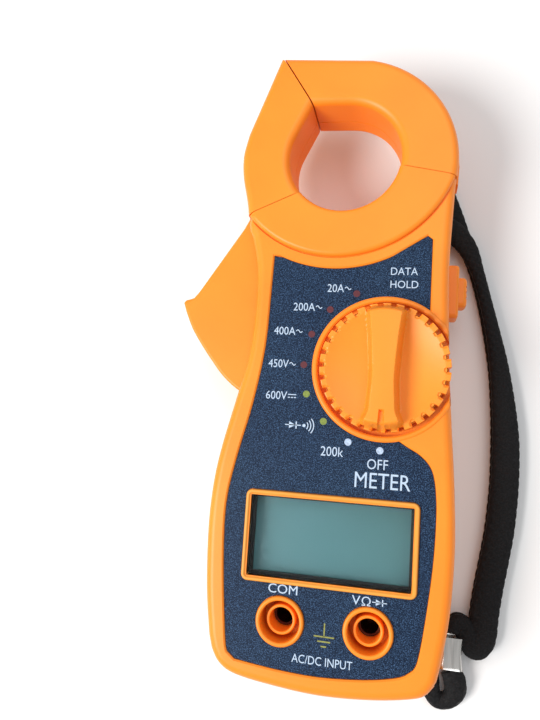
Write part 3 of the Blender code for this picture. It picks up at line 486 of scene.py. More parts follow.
orange = moulded("orange_abs", (1.0, 0.285, 0.018), (0.94, 0.25, 0.014), 0.42)
rear = stacked("rear_shell", case_outline(), round_rows(0, CASE_SPLIT - SPLIT_GAP, 1.6, 0.3))
window_tool = shared(stacked(
    "window tool", circle_line(WINDOW, WINDOW_RADIUS, 72),
    [(0.6, -5)] + round_rows(STEP, JAW_TOP, -0.6, -1.1) + [(1.1, 40)]))
seam_tool = shared(stacked("seam tool", over_the_crescent(), [(0, -5), (0, 40)]))
arm_tool = shared(stacked("arm tool", arm_space(), [(0, 8.3), (0, 19.8)]))
button_tool = shared(block("button tool", (19, BUTTON_Y - 6.65, 7.9),
                           (32, BUTTON_Y + 6.65, 15.6)))
rear_inside = stacked("rear inside", hollow_outline(), [(0, 2.4), (0, 14)])
rear_tools = [
    window_tool, seam_tool,
    post("crescent step", CRESCENT, -3, STEP, 26.8, 96),
    block("strap passage", (12.0, 30.6, -3), (40, 80, STEP - 0.02)),
    worked(rear_inside, cut=[post(f"rear post {i}", spot, -1, 16, 3.7)
                             for i, spot in enumerate(CASE_SCREWS[:3])]
           + [post("door post", DOOR_SCREW, -1, 16, 2.9)]),
    arm_tool, button_tool,
    stacked("bay opening", rounded_box_line((-22.8, -48.1), (22.8, -25.9), 1.5),
            [(0, -2), (0, 4)]),
]
EAR = circle_line(DOOR_SCREW, 4.3, 13, 180, 360)


def door_outline(gap):
    """A rounded plate with one round ear for its screw."""
    body = rounded_box_line((-23.4, -48.9), (23.4, -25.1), 1.8)
    foot_from = 21  # the ear interrupts the plate's lower side
    return moved_out(np.vstack((body[:foot_from], EAR, body[foot_from:])), gap)


rear_tools.append(stacked("door recess", door_outline(0.25), [(0.3, -2), (0.3, 0), (0, 0.3),
                                                              (0, 1.5)]))
for i, spot in enumerate(CASE_SCREWS):
    seat = stacked(f"screw seat {i}", circle_line(spot, 2.8, 32), [(0.5, -2), (0.5, 0), (0, 0.5),
                                                                   (0, 4.2)])
    rear_tools += [seat, post(f"screw way {i}", spot, -2, 14, 1.5)]
worked(rear, cut=rear_tools)
dressed(even_light(rear), orange)
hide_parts("rear_case")

# ---------------------------------------------------------------- battery door
# A separate plate in the back, held by one screw and two hooks. Fine ribs beside the screw show
# where to push.

door = stacked("battery_plate", door_outline(0.0), round_rows(0.05, 1.3, 0.35))
ribs = [stacked(f"door rib {i}", rounded_box_line((-7.0, y - 0.35), (7.0, y + 0.35), 0.3, 3),
                [(0.2, -1), (0, 0.35)]) for i, y in enumerate(np.arange(-45.6, -39.0, 1.5))]
door_seat = stacked("door screw seat", circle_line(DOOR_SCREW, 1.75, 32),
                    [(1.6, -0.3), (0, 1.29), (0, 3)])
worked(door, cut=[*ribs, door_seat])
dressed(even_light(door), orange)
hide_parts("battery_door")

# ---------------------------------------------------------------- front case
# The front half: the face with its recess for the label, the well of the dial, the frame of the
# display and the two socket wells, and the raised crescent that the jaws stand on.

DIAL = (10.8, -2.8)
DIAL_WELL, DIAL_COLLAR = 14.9, 16.1
SCREEN_LOW, SCREEN_HIGH = (-17.3, -50.0), (18.5, -32.4)
SCREEN_FRAME, FRAME_CORNER = 1.1, 1.4
SOCKETS = ((-9.1, -59.0), (9.9, -59.0))
SOCKET_RIM, SOCKET_WELL, SOCKET_BORE, WELL_LOW = 5.3, 4.4, 2.6, 17.8


def label_outline(gap=0.0):
    """The label follows the crescent, the dial's collar and the case's sides."""
    crescent = circle_line((-1.5, 49.9), 30.2, 24, 242, 298)[::-1]
    left = curve_through([(-15.9, 14.0), (-16.4, 1.0), (-18.4, -12.0), (-21.3, -24.5),
                          (-23.0, -35.0), (-22.6, -48.0), (-21.1, -63.0), (-20.4, -66.6)], 5)
    foot = curve_through([(-18.6, -68.0), (-9.5, -68.9), (0.0, -69.2), (9.5, -68.4),
                          (15.6, -67.2), (17.9, -66.3)], 5)
    right = curve_through([(19.4, -65.1), (20.2, -63.2), (21.2, -57.0), (22.5, -45.0),
                           (22.9, -35.0), (22.6, -28.5), (21.6, -24.1), (19.3, -21.4),
                           (16.2, -19.6), (13.0, -17.6)], 5)
    under_dial = [(20.0, -5.0)]
    corner = [(20.0, 26.6), (19.0, 27.4)]
    line = np.vstack(([(-15.7, 22.6)], left, foot, right, under_dial, corner, crescent[1:-1]))
    return moved_out(line, gap)


def turned(name, spot, profile, steps=96):
    """A closed profile of (radius, z) pairs turned round a vertical axis."""
    r, z = np.asarray(profile, float).T
    turn = np.linspace(0, 2 * np.pi, steps, endpoint=False)[:, None]
    points = np.stack((spot[0] + r * np.cos(turn), spot[1] + r * np.sin(turn),
                       np.broadcast_to(z, (steps, len(z)))), axis=-1)
    closed = np.concatenate((points, points[:1]))
    return loose_object(name, closed.reshape(-1, 3), grid_faces(steps + 1, len(z), True))


def rim_profile(inner, outer, low, high, soft, steps=5):
    """A ring's section with a rounded top."""
    turn = np.linspace(0, np.pi / 2, steps + 1)
    right = np.stack((outer - soft + soft * np.cos(turn), high - soft + soft * np.sin(turn)), 1)
    left = np.stack((inner + soft - soft * np.sin(turn), high - soft + soft * np.cos(turn)), 1)
    return np.vstack(([(outer, low)], right, left, [(inner, low)]))


front = stacked("front_shell", case_outline(),
                round_rows(CASE_SPLIT + SPLIT_GAP, CASE_TOP, 0.3, 2.2, 8))
in_case = shared(stacked("in case", moved_out(case_outline(), -0.02),
                         round_rows(10, JAW_TOP, 0, 1.9)))
crescent = stacked("crescent", circle_line(CRESCENT, CRESCENT_RADIUS, 120),
                   round_rows(18, JAW_TOP, 0, 1.1))
worked(crescent, keep=[in_case])
collar_foot = worked(post("collar foot", DIAL, 20.5, CASE_TOP + 0.05, DIAL_COLLAR, 96),
                     keep=[in_case])
lug = stacked("strap lug", [(17.5, -66.0), (17.5, -71.3), (20.4, -71.1), (22.6, -70.3),
                            (23.9, -68.6), (24.3, -65.0)], round_rows(12.5, 22.3, 0, 1.0))
front_inside = stacked("front inside", hollow_outline(), [(0, 9), (0, 22)])
worked(front_inside, cut=[
    post("dial floor", DIAL, 20.7, 24, 16.7, 72),
    *[post(f"screw post {i}", spot, 8, 24, 2.5) for i, spot in enumerate(CASE_SCREWS[:3])],
    *[post(f"socket wall {i}", spot, 8, 24, 5.7) for i, spot in enumerate(SOCKETS)]])
recess = stacked("label recess", label_outline(0.12), [(0, 23.6), (0, 24.1), (0.35, 24.42),
                                                       (0.35, 30)])
frame_line = rounded_box_line(np.array(SCREEN_LOW) - SCREEN_FRAME,
                              np.array(SCREEN_HIGH) + SCREEN_FRAME, FRAME_CORNER)
worked(recess, cut=[
    stacked("frame foot", frame_line, [(0, 20), (0, 40)]),
    post("collar stays", DIAL, 20, 40, DIAL_COLLAR + 0.06, 96),
    *[post(f"socket collar stays {i}", spot, 20, 40, SOCKET_RIM)
      for i, spot in enumerate(SOCKETS)]])
groove_line = [(CRESCENT_RADIUS + out, z)
               for out, z in ((-0.1, 24.0), (0.2, 24.0), (0.4, 24.6), (-0.1, 24.6))]
groove = turned("crescent groove", CRESCENT, groove_line, 160)
front_tools = [
    window_tool, seam_tool, front_inside, arm_tool, button_tool,
    post("dial well", DIAL, 22.9, 30, DIAL_WELL, 96), post("hub hole", DIAL, 15, 26, 5.2),
    block("display opening", (*SCREEN_LOW, 20), (*SCREEN_HIGH, 30)), recess,
    *[post(f"socket well {i}", spot, WELL_LOW, 30, SOCKET_WELL, 64)
      for i, spot in enumerate(SOCKETS)],
    *[post(f"socket bore {i}", spot, 5, 20, SOCKET_BORE) for i, spot in enumerate(SOCKETS)],
    groove]
worked(front, join=[crescent, collar_foot, lug], cut=front_tools)
dressed(even_light(front), orange)
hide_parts("front_case")

dial_collar = turned("dial_collar", DIAL,
                     rim_profile(DIAL_WELL, DIAL_COLLAR, 23.0, 24.75, 0.5), 144)
dressed(worked(dial_collar, keep=[in_case]), orange)
for label, spot in zip(("com", "input"), SOCKETS):
    rim = turned(f"socket_collar_{label}", spot,
                 rim_profile(4.35, SOCKET_RIM, 23.0, 24.7, 0.42))
    dressed(rim, orange)
    sleeve = turned(f"socket_sleeve_{label}", spot,
                    rim_profile(2.56, 3.25, WELL_LOW - 0.2, 22.6, 0.3))
    dressed(sleeve, orange)

bezel_cut = stacked("bezel opening", rounded_box_line(SCREEN_LOW, SCREEN_HIGH, 0.3),
                    [(0, 20), (0, 24.0), (0.12, 24.35), (0.4, 24.6), (0.6, 24.75), (0.6, 30)])
bezel = stacked("display_bezel", moved_out(frame_line, 0.02), round_rows(22.0, 24.7, 0, 0.4))
worked(bezel, cut=[bezel_cut])
pale_bezel = moulded("bezel_abs", (0.86, 0.36, 0.055), (0.78, 0.3, 0.04), 0.45)
dressed(even_light(bezel), pale_bezel)

# ---------------------------------------------------------------- jaws
# Two hollow halves of the ring round the conductor window, each moulded as a front and a rear
# shell that meet at half height. The right one is fixed to the case and the left one turns.


def ring_outline():
    """The jaws' outside: an arc on the right and a square corner where the tips meet."""
    right = circle_line((-0.5, 45.1), 25.6, 64, -45, 78)
    left = curve_through([(-24.1, 52.8), (-25.05, 48.3), (-25.15, 45.0), (-24.7, 41.5),
                          (-24.0, 38.5), (-23.3, 35.5), (-22.8, 32.3), (-22.3, 28.0)], 6)
    return np.vstack((right, [(-17.2, 71.85)], left))


def one_side(right, gap=0.15):
    """All that lies to one side of the tips and above that jaw's seam with the case."""
    if right:
        (tip_far, tip_near), (seam_far, seam_near) = (stretched(TIP_LINE, gap),
                                                      stretched(ROOT_LINE, -gap))
        return np.array([tip_far, (80, tip_far[1]), (80, seam_far[1]), seam_far, seam_near,
                         tip_near])
    (tip_far, tip_near), (seam_far, seam_near) = (stretched(TIP_LINE, -gap),
                                                  stretched(HEEL_LINE, gap))
    return np.array([tip_far, tip_near, seam_near, seam_far, (-80, seam_far[1]),
                     (-80, tip_far[1])])


hole_rows = [(1.9, 0)] + round_rows(JAW_LOW, JAW_TOP, -1.9, -1.9, 8) + [(1.9, 40)]
jaw_hole = shared(stacked("jaw hole", window_outline(WINDOW_RADIUS), hole_rows))
core_room = shared(stacked("core room", window_outline(21.3), [(0, 13.7), (0, 21.8)]))
worked(core_room, cut=[stacked("core bore", window_outline(16.3), [(0, 0), (0, 40)])])
right_only = shared(stacked("right only", one_side(True), [(0, 0), (0, 40)]))
left_only = shared(stacked("left only", one_side(False), [(0, 0), (0, 40)]))
upper = shared(block("upper half", (-90, -90, JAW_SPLIT + 0.1), (90, 120, 40)))
lower = shared(block("lower half", (-90, -90, -10), (90, 120, JAW_SPLIT - 0.1)))


def jaw_ring(name):
    return stacked(name, ring_outline(), round_rows(JAW_LOW, JAW_TOP, 1.9, 1.9, 8))


for half, side in (("front", upper), ("rear", lower)):
    jaw = worked(jaw_ring(f"fixed_jaw_{half}_shell"), cut=[jaw_hole, core_room],
                 keep=[right_only, side])
    dressed(even_light(jaw), orange)
    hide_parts(f"fixed_jaw_{half}")

# A thin rib beside the root of the fixed jaw, where its two shells are welded.
ear = stacked("jaw_rib", [(24.2, 41.8), (25.35, 41.3), (25.55, 45.9), (25.15, 49.6), (24.4, 50.0),
                          (23.6, 49.6)], round_rows(13.2, 18.8, 0.3, 0.3, 3))
dressed(even_light(ear), orange)

# ---------------------------------------------------------------- lever
# The trigger wing and the moving jaw are one lever on a steel pin. Squeezing the wing into the
# case opens the jaws, and a torsion spring shuts them.


def wing_outline():
    """A round boss on the pin, a long inner edge, and an outer edge that ends in a finger tip."""
    inner = curve_through([(-17.9, 24.5), (-18.0, 16.0), (-18.5, 8.0), (-19.6, 0.0),
                           (-21.4, -8.1)], 5)
    lower_edge = curve_through([(-23.0, -9.3), (-25.4, -7.7), (-28.2, -5.2), (-30.8, -2.1),
                                (-33.6, 1.5), (-36.4, 5.6), (-38.4, 9.8)], 5)
    tip = curve_through([(-39.2, 12.0), (-38.6, 12.75), (-37.6, 13.0), (-36.6, 13.4)], 3)
    neck = np.array([(-35.4, 14.9), (-30.3, 22.8), (-25.2, 30.7), (-23.9, 33.2), (-23.4, 38.2)])
    boss = circle_line(PIVOT, 3.6, 10, -45, 10)[::-1]
    return np.vstack(([(-17.0, 38.2)], boss, inner, lower_edge, tip, neck))


wing_room = shared(stacked("wing room", [
    (-21.9, 28.4), (-26.6, 23.6), (-32.5, 14.6), (-35.8, 11.4), (-34.8, 7.0), (-31.0, 0.9),
    (-26.6, -4.4), (-22.9, -6.2), (-21.4, 1.0), (-20.3, 9.0), (-19.7, 18.0), (-19.3, 28.4)],
    [(0, 10.4), (0, 17.7)]))
pin_room = shared(post("pin room", PIVOT, 4.2, 23.2, 1.33))
spring_room = shared(post("spring room", PIVOT, 12.3, 15.8, 2.8))
leg_room = shared(block("leg room", (PIVOT[0], PIVOT[1] + 1.5, 12.3),
                        (PIVOT[0] + 8, PIVOT[1] + 3.1, 13.6)))
lever_tools = [jaw_hole, core_room, wing_room, pin_room, spring_room, leg_room]
for half, side in (("front", upper), ("rear", lower)):
    lever = worked(jaw_ring(f"lever_{half}_shell"), keep=[left_only])
    wing = stacked("wing", wing_outline(), round_rows(8.6, 19.5, 0.7, 0.7, 5))
    worked(lever, join=[wing], cut=lever_tools, keep=[side])
    dressed(even_light(lever), orange, "lever")
    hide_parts(f"lever_{half}")
for tool in [one for one in bpy.data.objects if "shared" in one]:
    bpy.data.objects.remove(tool)

# ---------------------------------------------------------------- face label
# A printed plastic overlay, dark blue with a fine pale speckle, set into the recess. The
# lettering is screen-printed on it in pale blue, and each range has a coloured dot.

LABEL_LEVEL = 24.0


def speckled(name, base, fleck, deep):
    """Dark ink under a pearl coat: small pale flecks of uneven size, and a dull sheen."""
    made, tree, shader = new_material(name, 0.5)
    shader.inputs["Specular IOR Level"].default_value = 0.12
    flecks = noise_of(tree, 5200.0, 1.0)
    speck = ramp_between(tree, flecks.outputs["Fac"], base, fleck, 0.5, 0.68)
    cloud = ramp_between(tree, noise_of(tree, 60.0).outputs["Fac"], deep, (1.0, 1.0, 1.0))
    mixed = node(tree, "ShaderNodeMix", data_type="RGBA", blend_type="MULTIPLY")
    mixed.inputs[0].default_value = 1.0
    tree.links.new(speck, mixed.inputs[6])
    tree.links.new(cloud, mixed.inputs[7])
    tree.links.new(mixed.outputs[2], shader.inputs["Base Color"])
    bumped(tree, shader, flecks.outputs["Fac"], 0.4, 0.00003)
    return made


def repaint(node_name, look):
    """A CAD node keeps its shape and gets a finished material."""
    slots = frame["nodes"][node_name].data.materials
    slots.clear()
    slots.append(look)


repaint("face_label", speckled("label_ink", (0.006, 0.015, 0.036), (0.06, 0.125, 0.24),
                               (0.78, 0.8, 0.86)))


def ink(name, colour, worn=0.86):
    """Screen ink: a slightly uneven film of one colour."""
    made, tree, shader = new_material(name, 0.55)
    film = noise_of(tree, 2200.0, 2.0)
    faint = tuple(worn * c for c in colour)
    tree.links.new(ramp_between(tree, film.outputs["Fac"], faint, colour),
                   shader.inputs["Base Color"])
    return made


pale_ink = ink("pale_ink", (0.5, 0.63, 0.8))
INK_LOW, INK_HIGH = LABEL_LEVEL - 0.01, LABEL_LEVEL + 0.03
SMALL_TEXT = 1.85


def gathered(name, made):
    """Several loose objects become one."""
    points, faces, count = [], [], 0
    for one in made:
        mesh = one.data
        co = np.empty(len(mesh.vertices) * 3)
        mesh.vertices.foreach_get("co", co)
        points.append(co.reshape(-1, 3))
        faces += [[v + count for v in face.vertices] for face in mesh.polygons]
        count += len(mesh.vertices)
        bpy.data.objects.remove(one)
    return loose_object(name, np.vstack(points) / MM, faces)


def ribbon(points, width, closed=False):
    """A printed stroke: a line widened to both sides, drawn one ink film thick."""
    line = np.asarray(points, float)
    if closed:
        outside, inside = moved_out(line, width / 2), moved_out(line, -width / 2)
        rings = np.stack([np.column_stack((ring, np.full(len(line), z))) for ring, z in (
            (outside, INK_LOW), (outside, INK_HIGH), (inside, INK_HIGH), (inside, INK_LOW),
            (outside, INK_LOW))])
        return loose_object("stroke", rings.reshape(-1, 3), grid_faces(5, len(line), True))
    run = np.gradient(line, axis=0)
    run /= np.linalg.norm(run, axis=1)[:, None]
    side = np.stack((-run[:, 1], run[:, 0]), axis=1) * width / 2
    outline = np.vstack((line + side, (line - side)[::-1]))
    points = np.vstack([np.column_stack((outline, np.full(len(outline), z)))
                        for z in (INK_LOW, INK_HIGH)])
    return loose_object("stroke", points, tube_faces(2, len(outline)))


def words(text, left, right, middle, height):
    """Plain sans-serif capitals, scaled to a width and a height, one ink film thick."""
    drawn = bpy.data.curves.new("words", "FONT")
    drawn.body = text
    drawn.extrude = 0.5
    drawn.resolution_u = 3
    holder = bpy.data.objects.new("words", drawn)
    bpy.context.scene.collection.objects.link(holder)
    mesh = bpy.data.meshes.new_from_object(
        holder.evaluated_get(bpy.context.evaluated_depsgraph_get()))
    co = np.empty(len(mesh.vertices) * 3)
    mesh.vertices.foreach_get("co", co)
    co = co.reshape(-1, 3)
    low, high = co.min(axis=0), co.max(axis=0)
    co = (co - low) / (high - low)
    co = co * (right - left, height, INK_HIGH - INK_LOW) + (left, middle - height / 2, INK_LOW)
    faces = [list(face.vertices) for face in mesh.polygons]
    bpy.data.objects.remove(holder)
    return loose_object("words", co, faces)


def wave(x, y, width=1.4, tall=0.3):
    """The sign for alternating current."""
    t = np.linspace(0, 1, 17)
    return ribbon(np.stack((x + width * t, y + tall * np.sin(2 * np.pi * t)), axis=1), 0.19)


def bars(x, y, width=1.9):
    """The sign for direct current: a solid line over three dashes."""
    dash = width * 0.26
    return [ribbon([(x, y + 0.3), (x + width, y + 0.3)], 0.2)] + [
        ribbon([(start, y - 0.35), (start + dash, y - 0.35)], 0.2)
        for start in x + np.arange(3) * (width - dash) / 2]


def diode(x, y, size=1.0):
    """A triangle that points at a bar, on a line."""
    tip = x + 2.4 * size
    return [ribbon([(x, y), (x + 3.6 * size, y)], 0.22 * size),
            stacked("triangle", [(x + 0.9 * size, y - 0.75 * size), (tip, y),
                                 (x + 0.9 * size, y + 0.75 * size)],
                    [(0, INK_LOW), (0, INK_HIGH)]),
            ribbon([(tip + 0.12, y - 0.8 * size), (tip + 0.12, y + 0.8 * size)], 0.28 * size)]


def disc(x, y, radius):
    return stacked("disc", circle_line((x, y), radius, 28), [(0, INK_LOW), (0, INK_HIGH)])


def sound(x, y):
    """A dot and three arcs: the buzzer of the continuity test."""
    return [disc(x, y, 0.36)] + [ribbon(circle_line((x - 0.2, y), r, 9, -42, 42), 0.22)
                                 for r in (1.1, 1.75, 2.4)]


letters = gathered("range_lettering", [
    words("DATA", 11.2, 17.1, 19.3, 1.7), words("HOLD", 11.2, 17.3, 16.3, 1.7),
    words("20A", -2.9, 0.9, 15.2, SMALL_TEXT), wave(1.1, 15.2),
    words("200A", -10.5, -5.5, 10.7, SMALL_TEXT), wave(-5.3, 10.7),
    words("400A", -14.7, -9.7, 5.0, SMALL_TEXT), wave(-9.5, 5.0),
    words("450V", -15.5, -10.8, -2.6, SMALL_TEXT), wave(-10.6, -2.6),
    words("600V", -15.6, -10.7, -9.9, SMALL_TEXT), *bars(-10.5, -9.9),
    *diode(-10.7, -16.4), *sound(-6.4, -16.4),
    words("200k", -2.3, 2.7, -21.7, 2.1), words("OFF", 8.0, 12.5, -23.8, 2.2),
    words("METER", 5.5, 17.4, -27.3, 3.3),
    words("COM", -12.1, -5.6, -52.2, 1.95), words("V", 6.2, 8.0, -52.6, 1.9),
    words("Ω", 8.3, 10.2, -52.6, 1.9), *diode(10.5, -52.6, 0.86),
    words("AC/DC INPUT", -6.0, 7.0, -66.1, 1.75)])
dressed(letters, pale_ink)

DOTS = {"pale": ((10.6, -20.8), (3.6, -19.4)), "green": ((-2.1, -15.2), (-6.3, -9.3)),
        "red": ((-7.3, -2.7), (-5.9, 4.4), (-2.0, 10.2), (3.8, 14.0))}
INKS = {"pale": (0.52, 0.68, 0.92), "green": (0.23, 0.31, 0.05), "red": (0.12, 0.012, 0.022)}
DOT_RADIUS = 0.78
for colour, spots in DOTS.items():
    dots = gathered(f"range_dots_{colour}", [disc(x, y, DOT_RADIUS) for x, y in spots])
    dressed(dots, ink(f"{colour}_ink", INKS[colour], 0.6))

earth = gathered("earth_sign", [
    ribbon([(0.7, -58.2), (0.7, -61.0)], 0.28), ribbon([(-1.5, -61.0), (2.9, -61.0)], 0.3),
    ribbon([(-0.7, -62.0), (2.1, -62.0)], 0.3), ribbon([(0.1, -63.0), (1.3, -63.0)], 0.3)])
dressed(earth, ink("olive_ink", (0.3, 0.3, 0.06), 0.7))

# ---------------------------------------------------------------- display
# A clear window in the frame, and under it the grey-green glass of the switched-off display in
# its black holder.


def display_glass():
    """Unlit liquid crystal: a grey-green that a gradient of painted shade darkens across the
    glass.
    """
    made, tree, shader = new_material("display_glass", 0.32)
    place = node(tree, "ShaderNodeTexCoord")
    centred = node(tree, "ShaderNodeMapping")
    centred.inputs["Location"].default_value = (0.55, 0.0, 0.0)
    centred.inputs["Scale"].default_value = (12.0, 16.0, 1.0)
    centred.inputs["Rotation"].default_value = (0.0, 0.0, -0.5)
    # Painted shade: a linear gradient from a lighter to a darker grey-green across the glass.
    painted_shade_gradient = node(tree, "ShaderNodeTexGradient")
    tree.links.new(place.outputs["Object"], centred.inputs["Vector"])
    tree.links.new(centred.outputs["Vector"], painted_shade_gradient.inputs["Vector"])
    tree.links.new(ramp_between(tree, painted_shade_gradient.outputs["Fac"], (0.1, 0.245, 0.28),
                                (0.08, 0.155, 0.155), 0.2, 0.9), shader.inputs["Base Color"])
    bumped(tree, shader, noise_of(tree, 5000.0).outputs["Fac"], 0.1, 0.00001)
    return made


def clear_window():
    """Clear acrylic with a few fine rub marks."""
    made, tree, shader = new_material("clear_acrylic", 0.04)
    shader.inputs["Base Color"].default_value = (0.97, 1.0, 0.99, 1.0)
    shader.inputs["Transmission Weight"].default_value = 1.0
    shader.inputs["IOR"].default_value = 1.2
    rub = noise_of(tree, 700.0, 4.0)
    level = node(tree, "ShaderNodeMapRange")
    level.inputs["From Min"].default_value = 0.55
    level.inputs["From Max"].default_value = 0.8
    level.inputs["To Min"].default_value = 0.03
    level.inputs["To Max"].default_value = 0.12
    tree.links.new(rub.outputs["Fac"], level.inputs["Value"])
    tree.links.new(level.outputs["Result"], shader.inputs["Roughness"])
    return made


black = moulded("black_nylon", (0.03, 0.03, 0.03), (0.018, 0.018, 0.018), 0.5)
repaint("lcd_window", clear_window())
repaint("lcd_panel", display_glass())
repaint("lcd_holder", black)

# ---------------------------------------------------------------- range dial
# One orange moulding: a toothed disc with two finger scoops, and a narrow-waisted grip bar whose
# slit points at the range. The inner hub carries the contacts.

TEETH = 30
FIRST_TOOTH = np.radians(2.04)
RIM, GAP_RIM, RIM_TOP, SKIRT = 14.1, 13.35, 27.4, 23.3
BOWL_LOW, BOWL_RADIUS = 25.2, 12.9
BAR_TOP, BAR_WAIST_Y, BAR_HALF = 30.75, -3.2, 2.2


def eased(t):
    """Smoothstep: 3t^2 - 2t^3 between 0 and 1."""
    t = np.clip(t, 0, 1)
    return t * t * (3 - 2 * t)


def knob_height(x, y):
    """Height over the disc: a bowl that rises with r^2.4, and a bar whose half width grows from
    a waist below the middle towards both ends; bar and bowl meet in soft slopes."""
    r = np.hypot(x, y)
    bowl = BOWL_LOW + 2.2 * (r / BOWL_RADIUS) ** 2.4
    up, down = np.maximum(y - BAR_WAIST_Y, 0), np.maximum(BAR_WAIST_Y - y, 0)
    half = BAR_HALF + 0.95 * (up / 13.7) ** 1.6 + 0.4 * (down / 6.3) + 0.8 * eased((down - 6) / 3)
    wall = 1 - eased((np.abs(x) - half) / 1.2)
    crown = BAR_TOP - 0.1 * (x / half) ** 2 - 3.35 * eased((r - 11.9) / 2.2)
    slit = (1 - eased((np.abs(x) - 0.45) / 0.14)) * eased((-9.3 - y) / 0.3)
    return np.minimum(bowl, RIM_TOP) + np.maximum(crown - bowl, 0) * wall - 0.9 * slit


def knob_disc():
    """A polar grid: rings from the centre to the rim, where the radius drops in the gaps between
    teeth and each gap has a small round pit, and then down the skirt and under the disc."""
    pitch = 2 * np.pi / TEETH
    shares = np.array([0.0, 0.03, 0.15, 0.3, 0.45, 0.6, 0.63, 0.66, 0.7, 0.76, 0.82, 0.88,
                       0.94, 0.97])
    turn = (np.arange(TEETH)[:, None] * pitch + shares * pitch).ravel() + FIRST_TOOTH
    tooth = np.tile(np.interp(shares, [0.0, 0.03, 0.63, 0.66, 1.0], [0, 1, 1, 0, 0]), TEETH)
    edge = GAP_RIM + (RIM - GAP_RIM) * tooth
    inner = np.concatenate(([0.02], np.arange(0.35, 12.9, 0.19)))
    radii = np.vstack((np.repeat(inner[:, None], len(turn), axis=1),
                       *[13.0 + (edge - 13.0) * s for s in (0.0, 0.35, 0.7)],
                       edge - 0.22, edge - 0.07, edge, edge, edge * 0 + 12.6, edge * 0 + 0.02))
    x, y = radii * np.cos(turn), radii * np.sin(turn)
    z = knob_height(x, y)
    gap_turn = ((turn - FIRST_TOOTH) / pitch) % 1 - 0.815
    pit = np.hypot((radii - 13.45) / 0.85, gap_turn * pitch * 13.4 / 0.7)
    z = z - 0.45 * eased((1.15 - pit) / 0.3) * (radii > 12.3)
    z[-5] -= 0.06
    z[-4] -= 0.25
    z[-3], z[-2], z[-1] = SKIRT, SKIRT, SKIRT
    points = np.stack((x + DIAL[0], y + DIAL[1], z), axis=-1)
    return loose_object("dial_grip", points.reshape(-1, 3), tube_faces(len(radii), len(turn)))


knob = knob_disc()
dressed(knob, moulded("dial_abs", (1.0, 0.31, 0.024), (0.95, 0.275, 0.02), 0.40),
        "dial", 40)
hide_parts("dial_knob")
hub = turned("dial_hub", DIAL, [(3.4, 17.0), (4.9, 17.0), (4.9, 23.4), (3.4, 23.4)], 48)
dressed(hub, orange, "dial")

# ---------------------------------------------------------------- hold button
# An orange push button in the case's side: a flange that keeps it in, a broad stem and a
# rounded finger pad with three shallow grooves.


def sideways(made):
    """Stand a stack on its side, so that it rises along +X instead of +Z."""
    co = np.empty(len(made.data.vertices) * 3)
    made.data.vertices.foreach_get("co", co)
    made.data.vertices.foreach_set("co", co.reshape(-1, 3)[:, [2, 0, 1]].ravel())
    made.data.update()
    return made


def pad_of_button(low, high, x_low, x_high, soft, corner):
    outline = rounded_box_line(low, high, corner)
    return sideways(stacked("pad", outline, round_rows(x_low, x_high, 0, soft, 5)))


button = sideways(stacked("hold_pad", rounded_box_line((9.55, 7.15), (24.65, 16.35), 0.8),
                          round_rows(20.3, 21.5)))
stem = pad_of_button((10.8, 8.2), (23.4, 15.3), 21.0, 26.6, 0.8, 1.0)
finger = pad_of_button((13.5, 9.2), (20.7, 14.3), 25.8, 28.5, 1.0, 1.2)
grooves = [block(f"button groove {i}", (28.2, y - 0.25, 9.0), (29, y + 0.25, 14.5))
           for i, y in enumerate((BUTTON_Y - 1.3, BUTTON_Y, BUTTON_Y + 1.3))]
worked(button, join=[stem, finger], cut=grooves)
dressed(even_light(button), orange, "button")
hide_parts("hold_button")

# ---------------------------------------------------------------- metal and inner parts
# Screws, pin, springs and sockets are plated steel and brass. Board, cells, coil and the other
# inner parts keep their shapes and get the finish of the real ones.

zinc = bright_metal("zinc_plated_steel", (0.66, 0.66, 0.64), 0.3)
brass = bright_metal("turned_brass", (0.8, 0.58, 0.26), 0.28)
# The socket brass is painted nearly black as the painted shade deep inside the socket holes.
hole_shade_brass = bright_metal("tarnished_brass", (0.12, 0.045, 0.03), 0.45)
laminations = bright_metal("laminated_steel", (0.34, 0.34, 0.36), 0.45, 3000.0)
spring_wire = bright_metal("spring_wire", (0.5, 0.5, 0.5), 0.28)
board_mask = moulded("solder_mask", (0.03, 0.17, 0.06), (0.015, 0.1, 0.035), 0.35, 300.0)
white = moulded("white_nylon", (0.8, 0.8, 0.77), (0.7, 0.7, 0.66), 0.5)
tape = moulded("coil_tape", (0.75, 0.5, 0.1), (0.62, 0.38, 0.06), 0.45, 500.0)
sleeve_film = moulded("cell_sleeve", (0.05, 0.09, 0.24), (0.03, 0.06, 0.18), 0.3)
silicone = moulded("conductive_silicone", (0.12, 0.12, 0.13), (0.08, 0.08, 0.09), 0.7)
hookup = moulded("wire_insulation", (0.7, 0.05, 0.03), (0.55, 0.03, 0.02), 0.45)
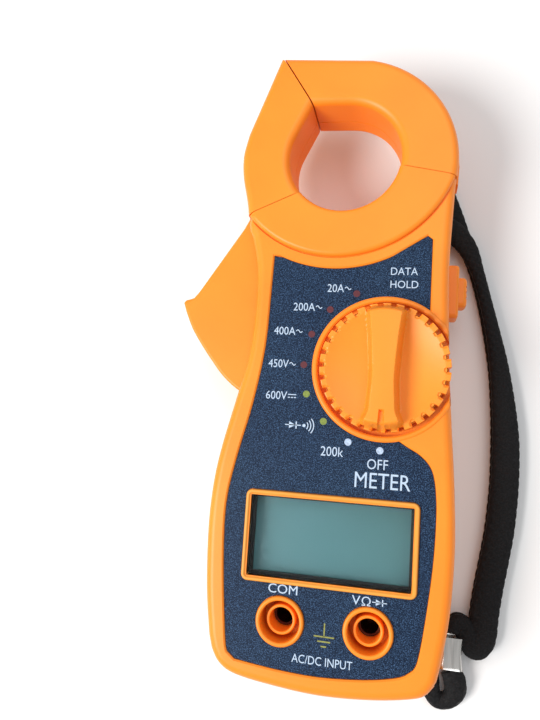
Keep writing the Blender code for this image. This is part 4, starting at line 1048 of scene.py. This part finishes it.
FINISHES = {
    zinc: ["case_screw_1", "case_screw_2", "case_screw_3", "case_screw_4", "door_screw",
           "board_screw_1", "board_screw_2", "pivot_pin", "battery_bridge",
           "battery_contact_plus", "battery_contact_minus", "detent_ball"],
    spring_wire: ["lever_spring", "battery_spring_1", "battery_spring_2", "detent_spring"],
    brass: ["dial_wiper_1", "dial_wiper_2", "dial_wiper_3"],
    hole_shade_brass: ["socket_com", "socket_input"],
    laminations: ["fixed_core", "moving_core"],
    board_mask: ["main_board"],
    black: ["chip_blob", "capacitor", "buzzer", "hold_switch"],
    white: ["dial_rotor", "shunt_resistor", "trim_pot"],
    tape: ["pickup_coil", "thermistor"],
    sleeve_film: ["battery_cell_1", "battery_cell_2"],
    silicone: ["lcd_connector_upper", "lcd_connector_lower"],
    hookup: ["socket_wire_com", "socket_wire_input", "coil_leads"],
}
for look, names in FINISHES.items():
    for name in names:
        repaint(name, look)

# ---------------------------------------------------------------- table and light
# A plain pale table, one broad soft light from the front left, a weaker one from above the jaws,
# and a pale surround.

table_look, table_tree, table_shader = new_material("pale_table", 0.7)
table_tree.links.new(ramp_between(table_tree, noise_of(table_tree, 12.0).outputs["Fac"],
                                  (0.86, 0.86, 0.87), (0.9, 0.9, 0.9)),
                     table_shader.inputs["Base Color"])
REACH = 1500
floor = loose_object("table_top", [(-REACH, -REACH, 0), (REACH, -REACH, 0), (REACH, REACH, 0),
                                   (-REACH, REACH, 0)], [[0, 1, 2, 3]])
floor.data.materials.append(table_look)


def soft_light(name, place, size, watts, colour):
    """A round area light that faces the origin."""
    lamp = bpy.data.lights.new(name, "AREA")
    lamp.shape = "DISK"
    lamp.size = size
    lamp.energy = watts
    lamp.color = colour
    made = bpy.data.objects.new(name, lamp)
    made.location = place
    made.rotation_euler = (-Vector(place)).to_track_quat("-Z", "Y").to_euler()
    bpy.context.scene.collection.objects.link(made)


soft_light("key", (-0.38, -0.18, 0.5), 0.32, 4.0, (1.0, 0.98, 0.95))
soft_light("fill", (0.2, 0.35, 0.7), 0.6, 1.6, (0.96, 0.98, 1.0))
surround = bpy.data.worlds.new("pale_surround")
surround.use_nodes = True
surround.node_tree.nodes["Background"].inputs["Color"].default_value = (1.0, 1.0, 1.0, 1.0)
surround.node_tree.nodes["Background"].inputs["Strength"].default_value = 0.5
bpy.context.scene.world = surround
bpy.context.scene.view_settings.view_transform = "Standard"

bpy.context.view_layer.update()
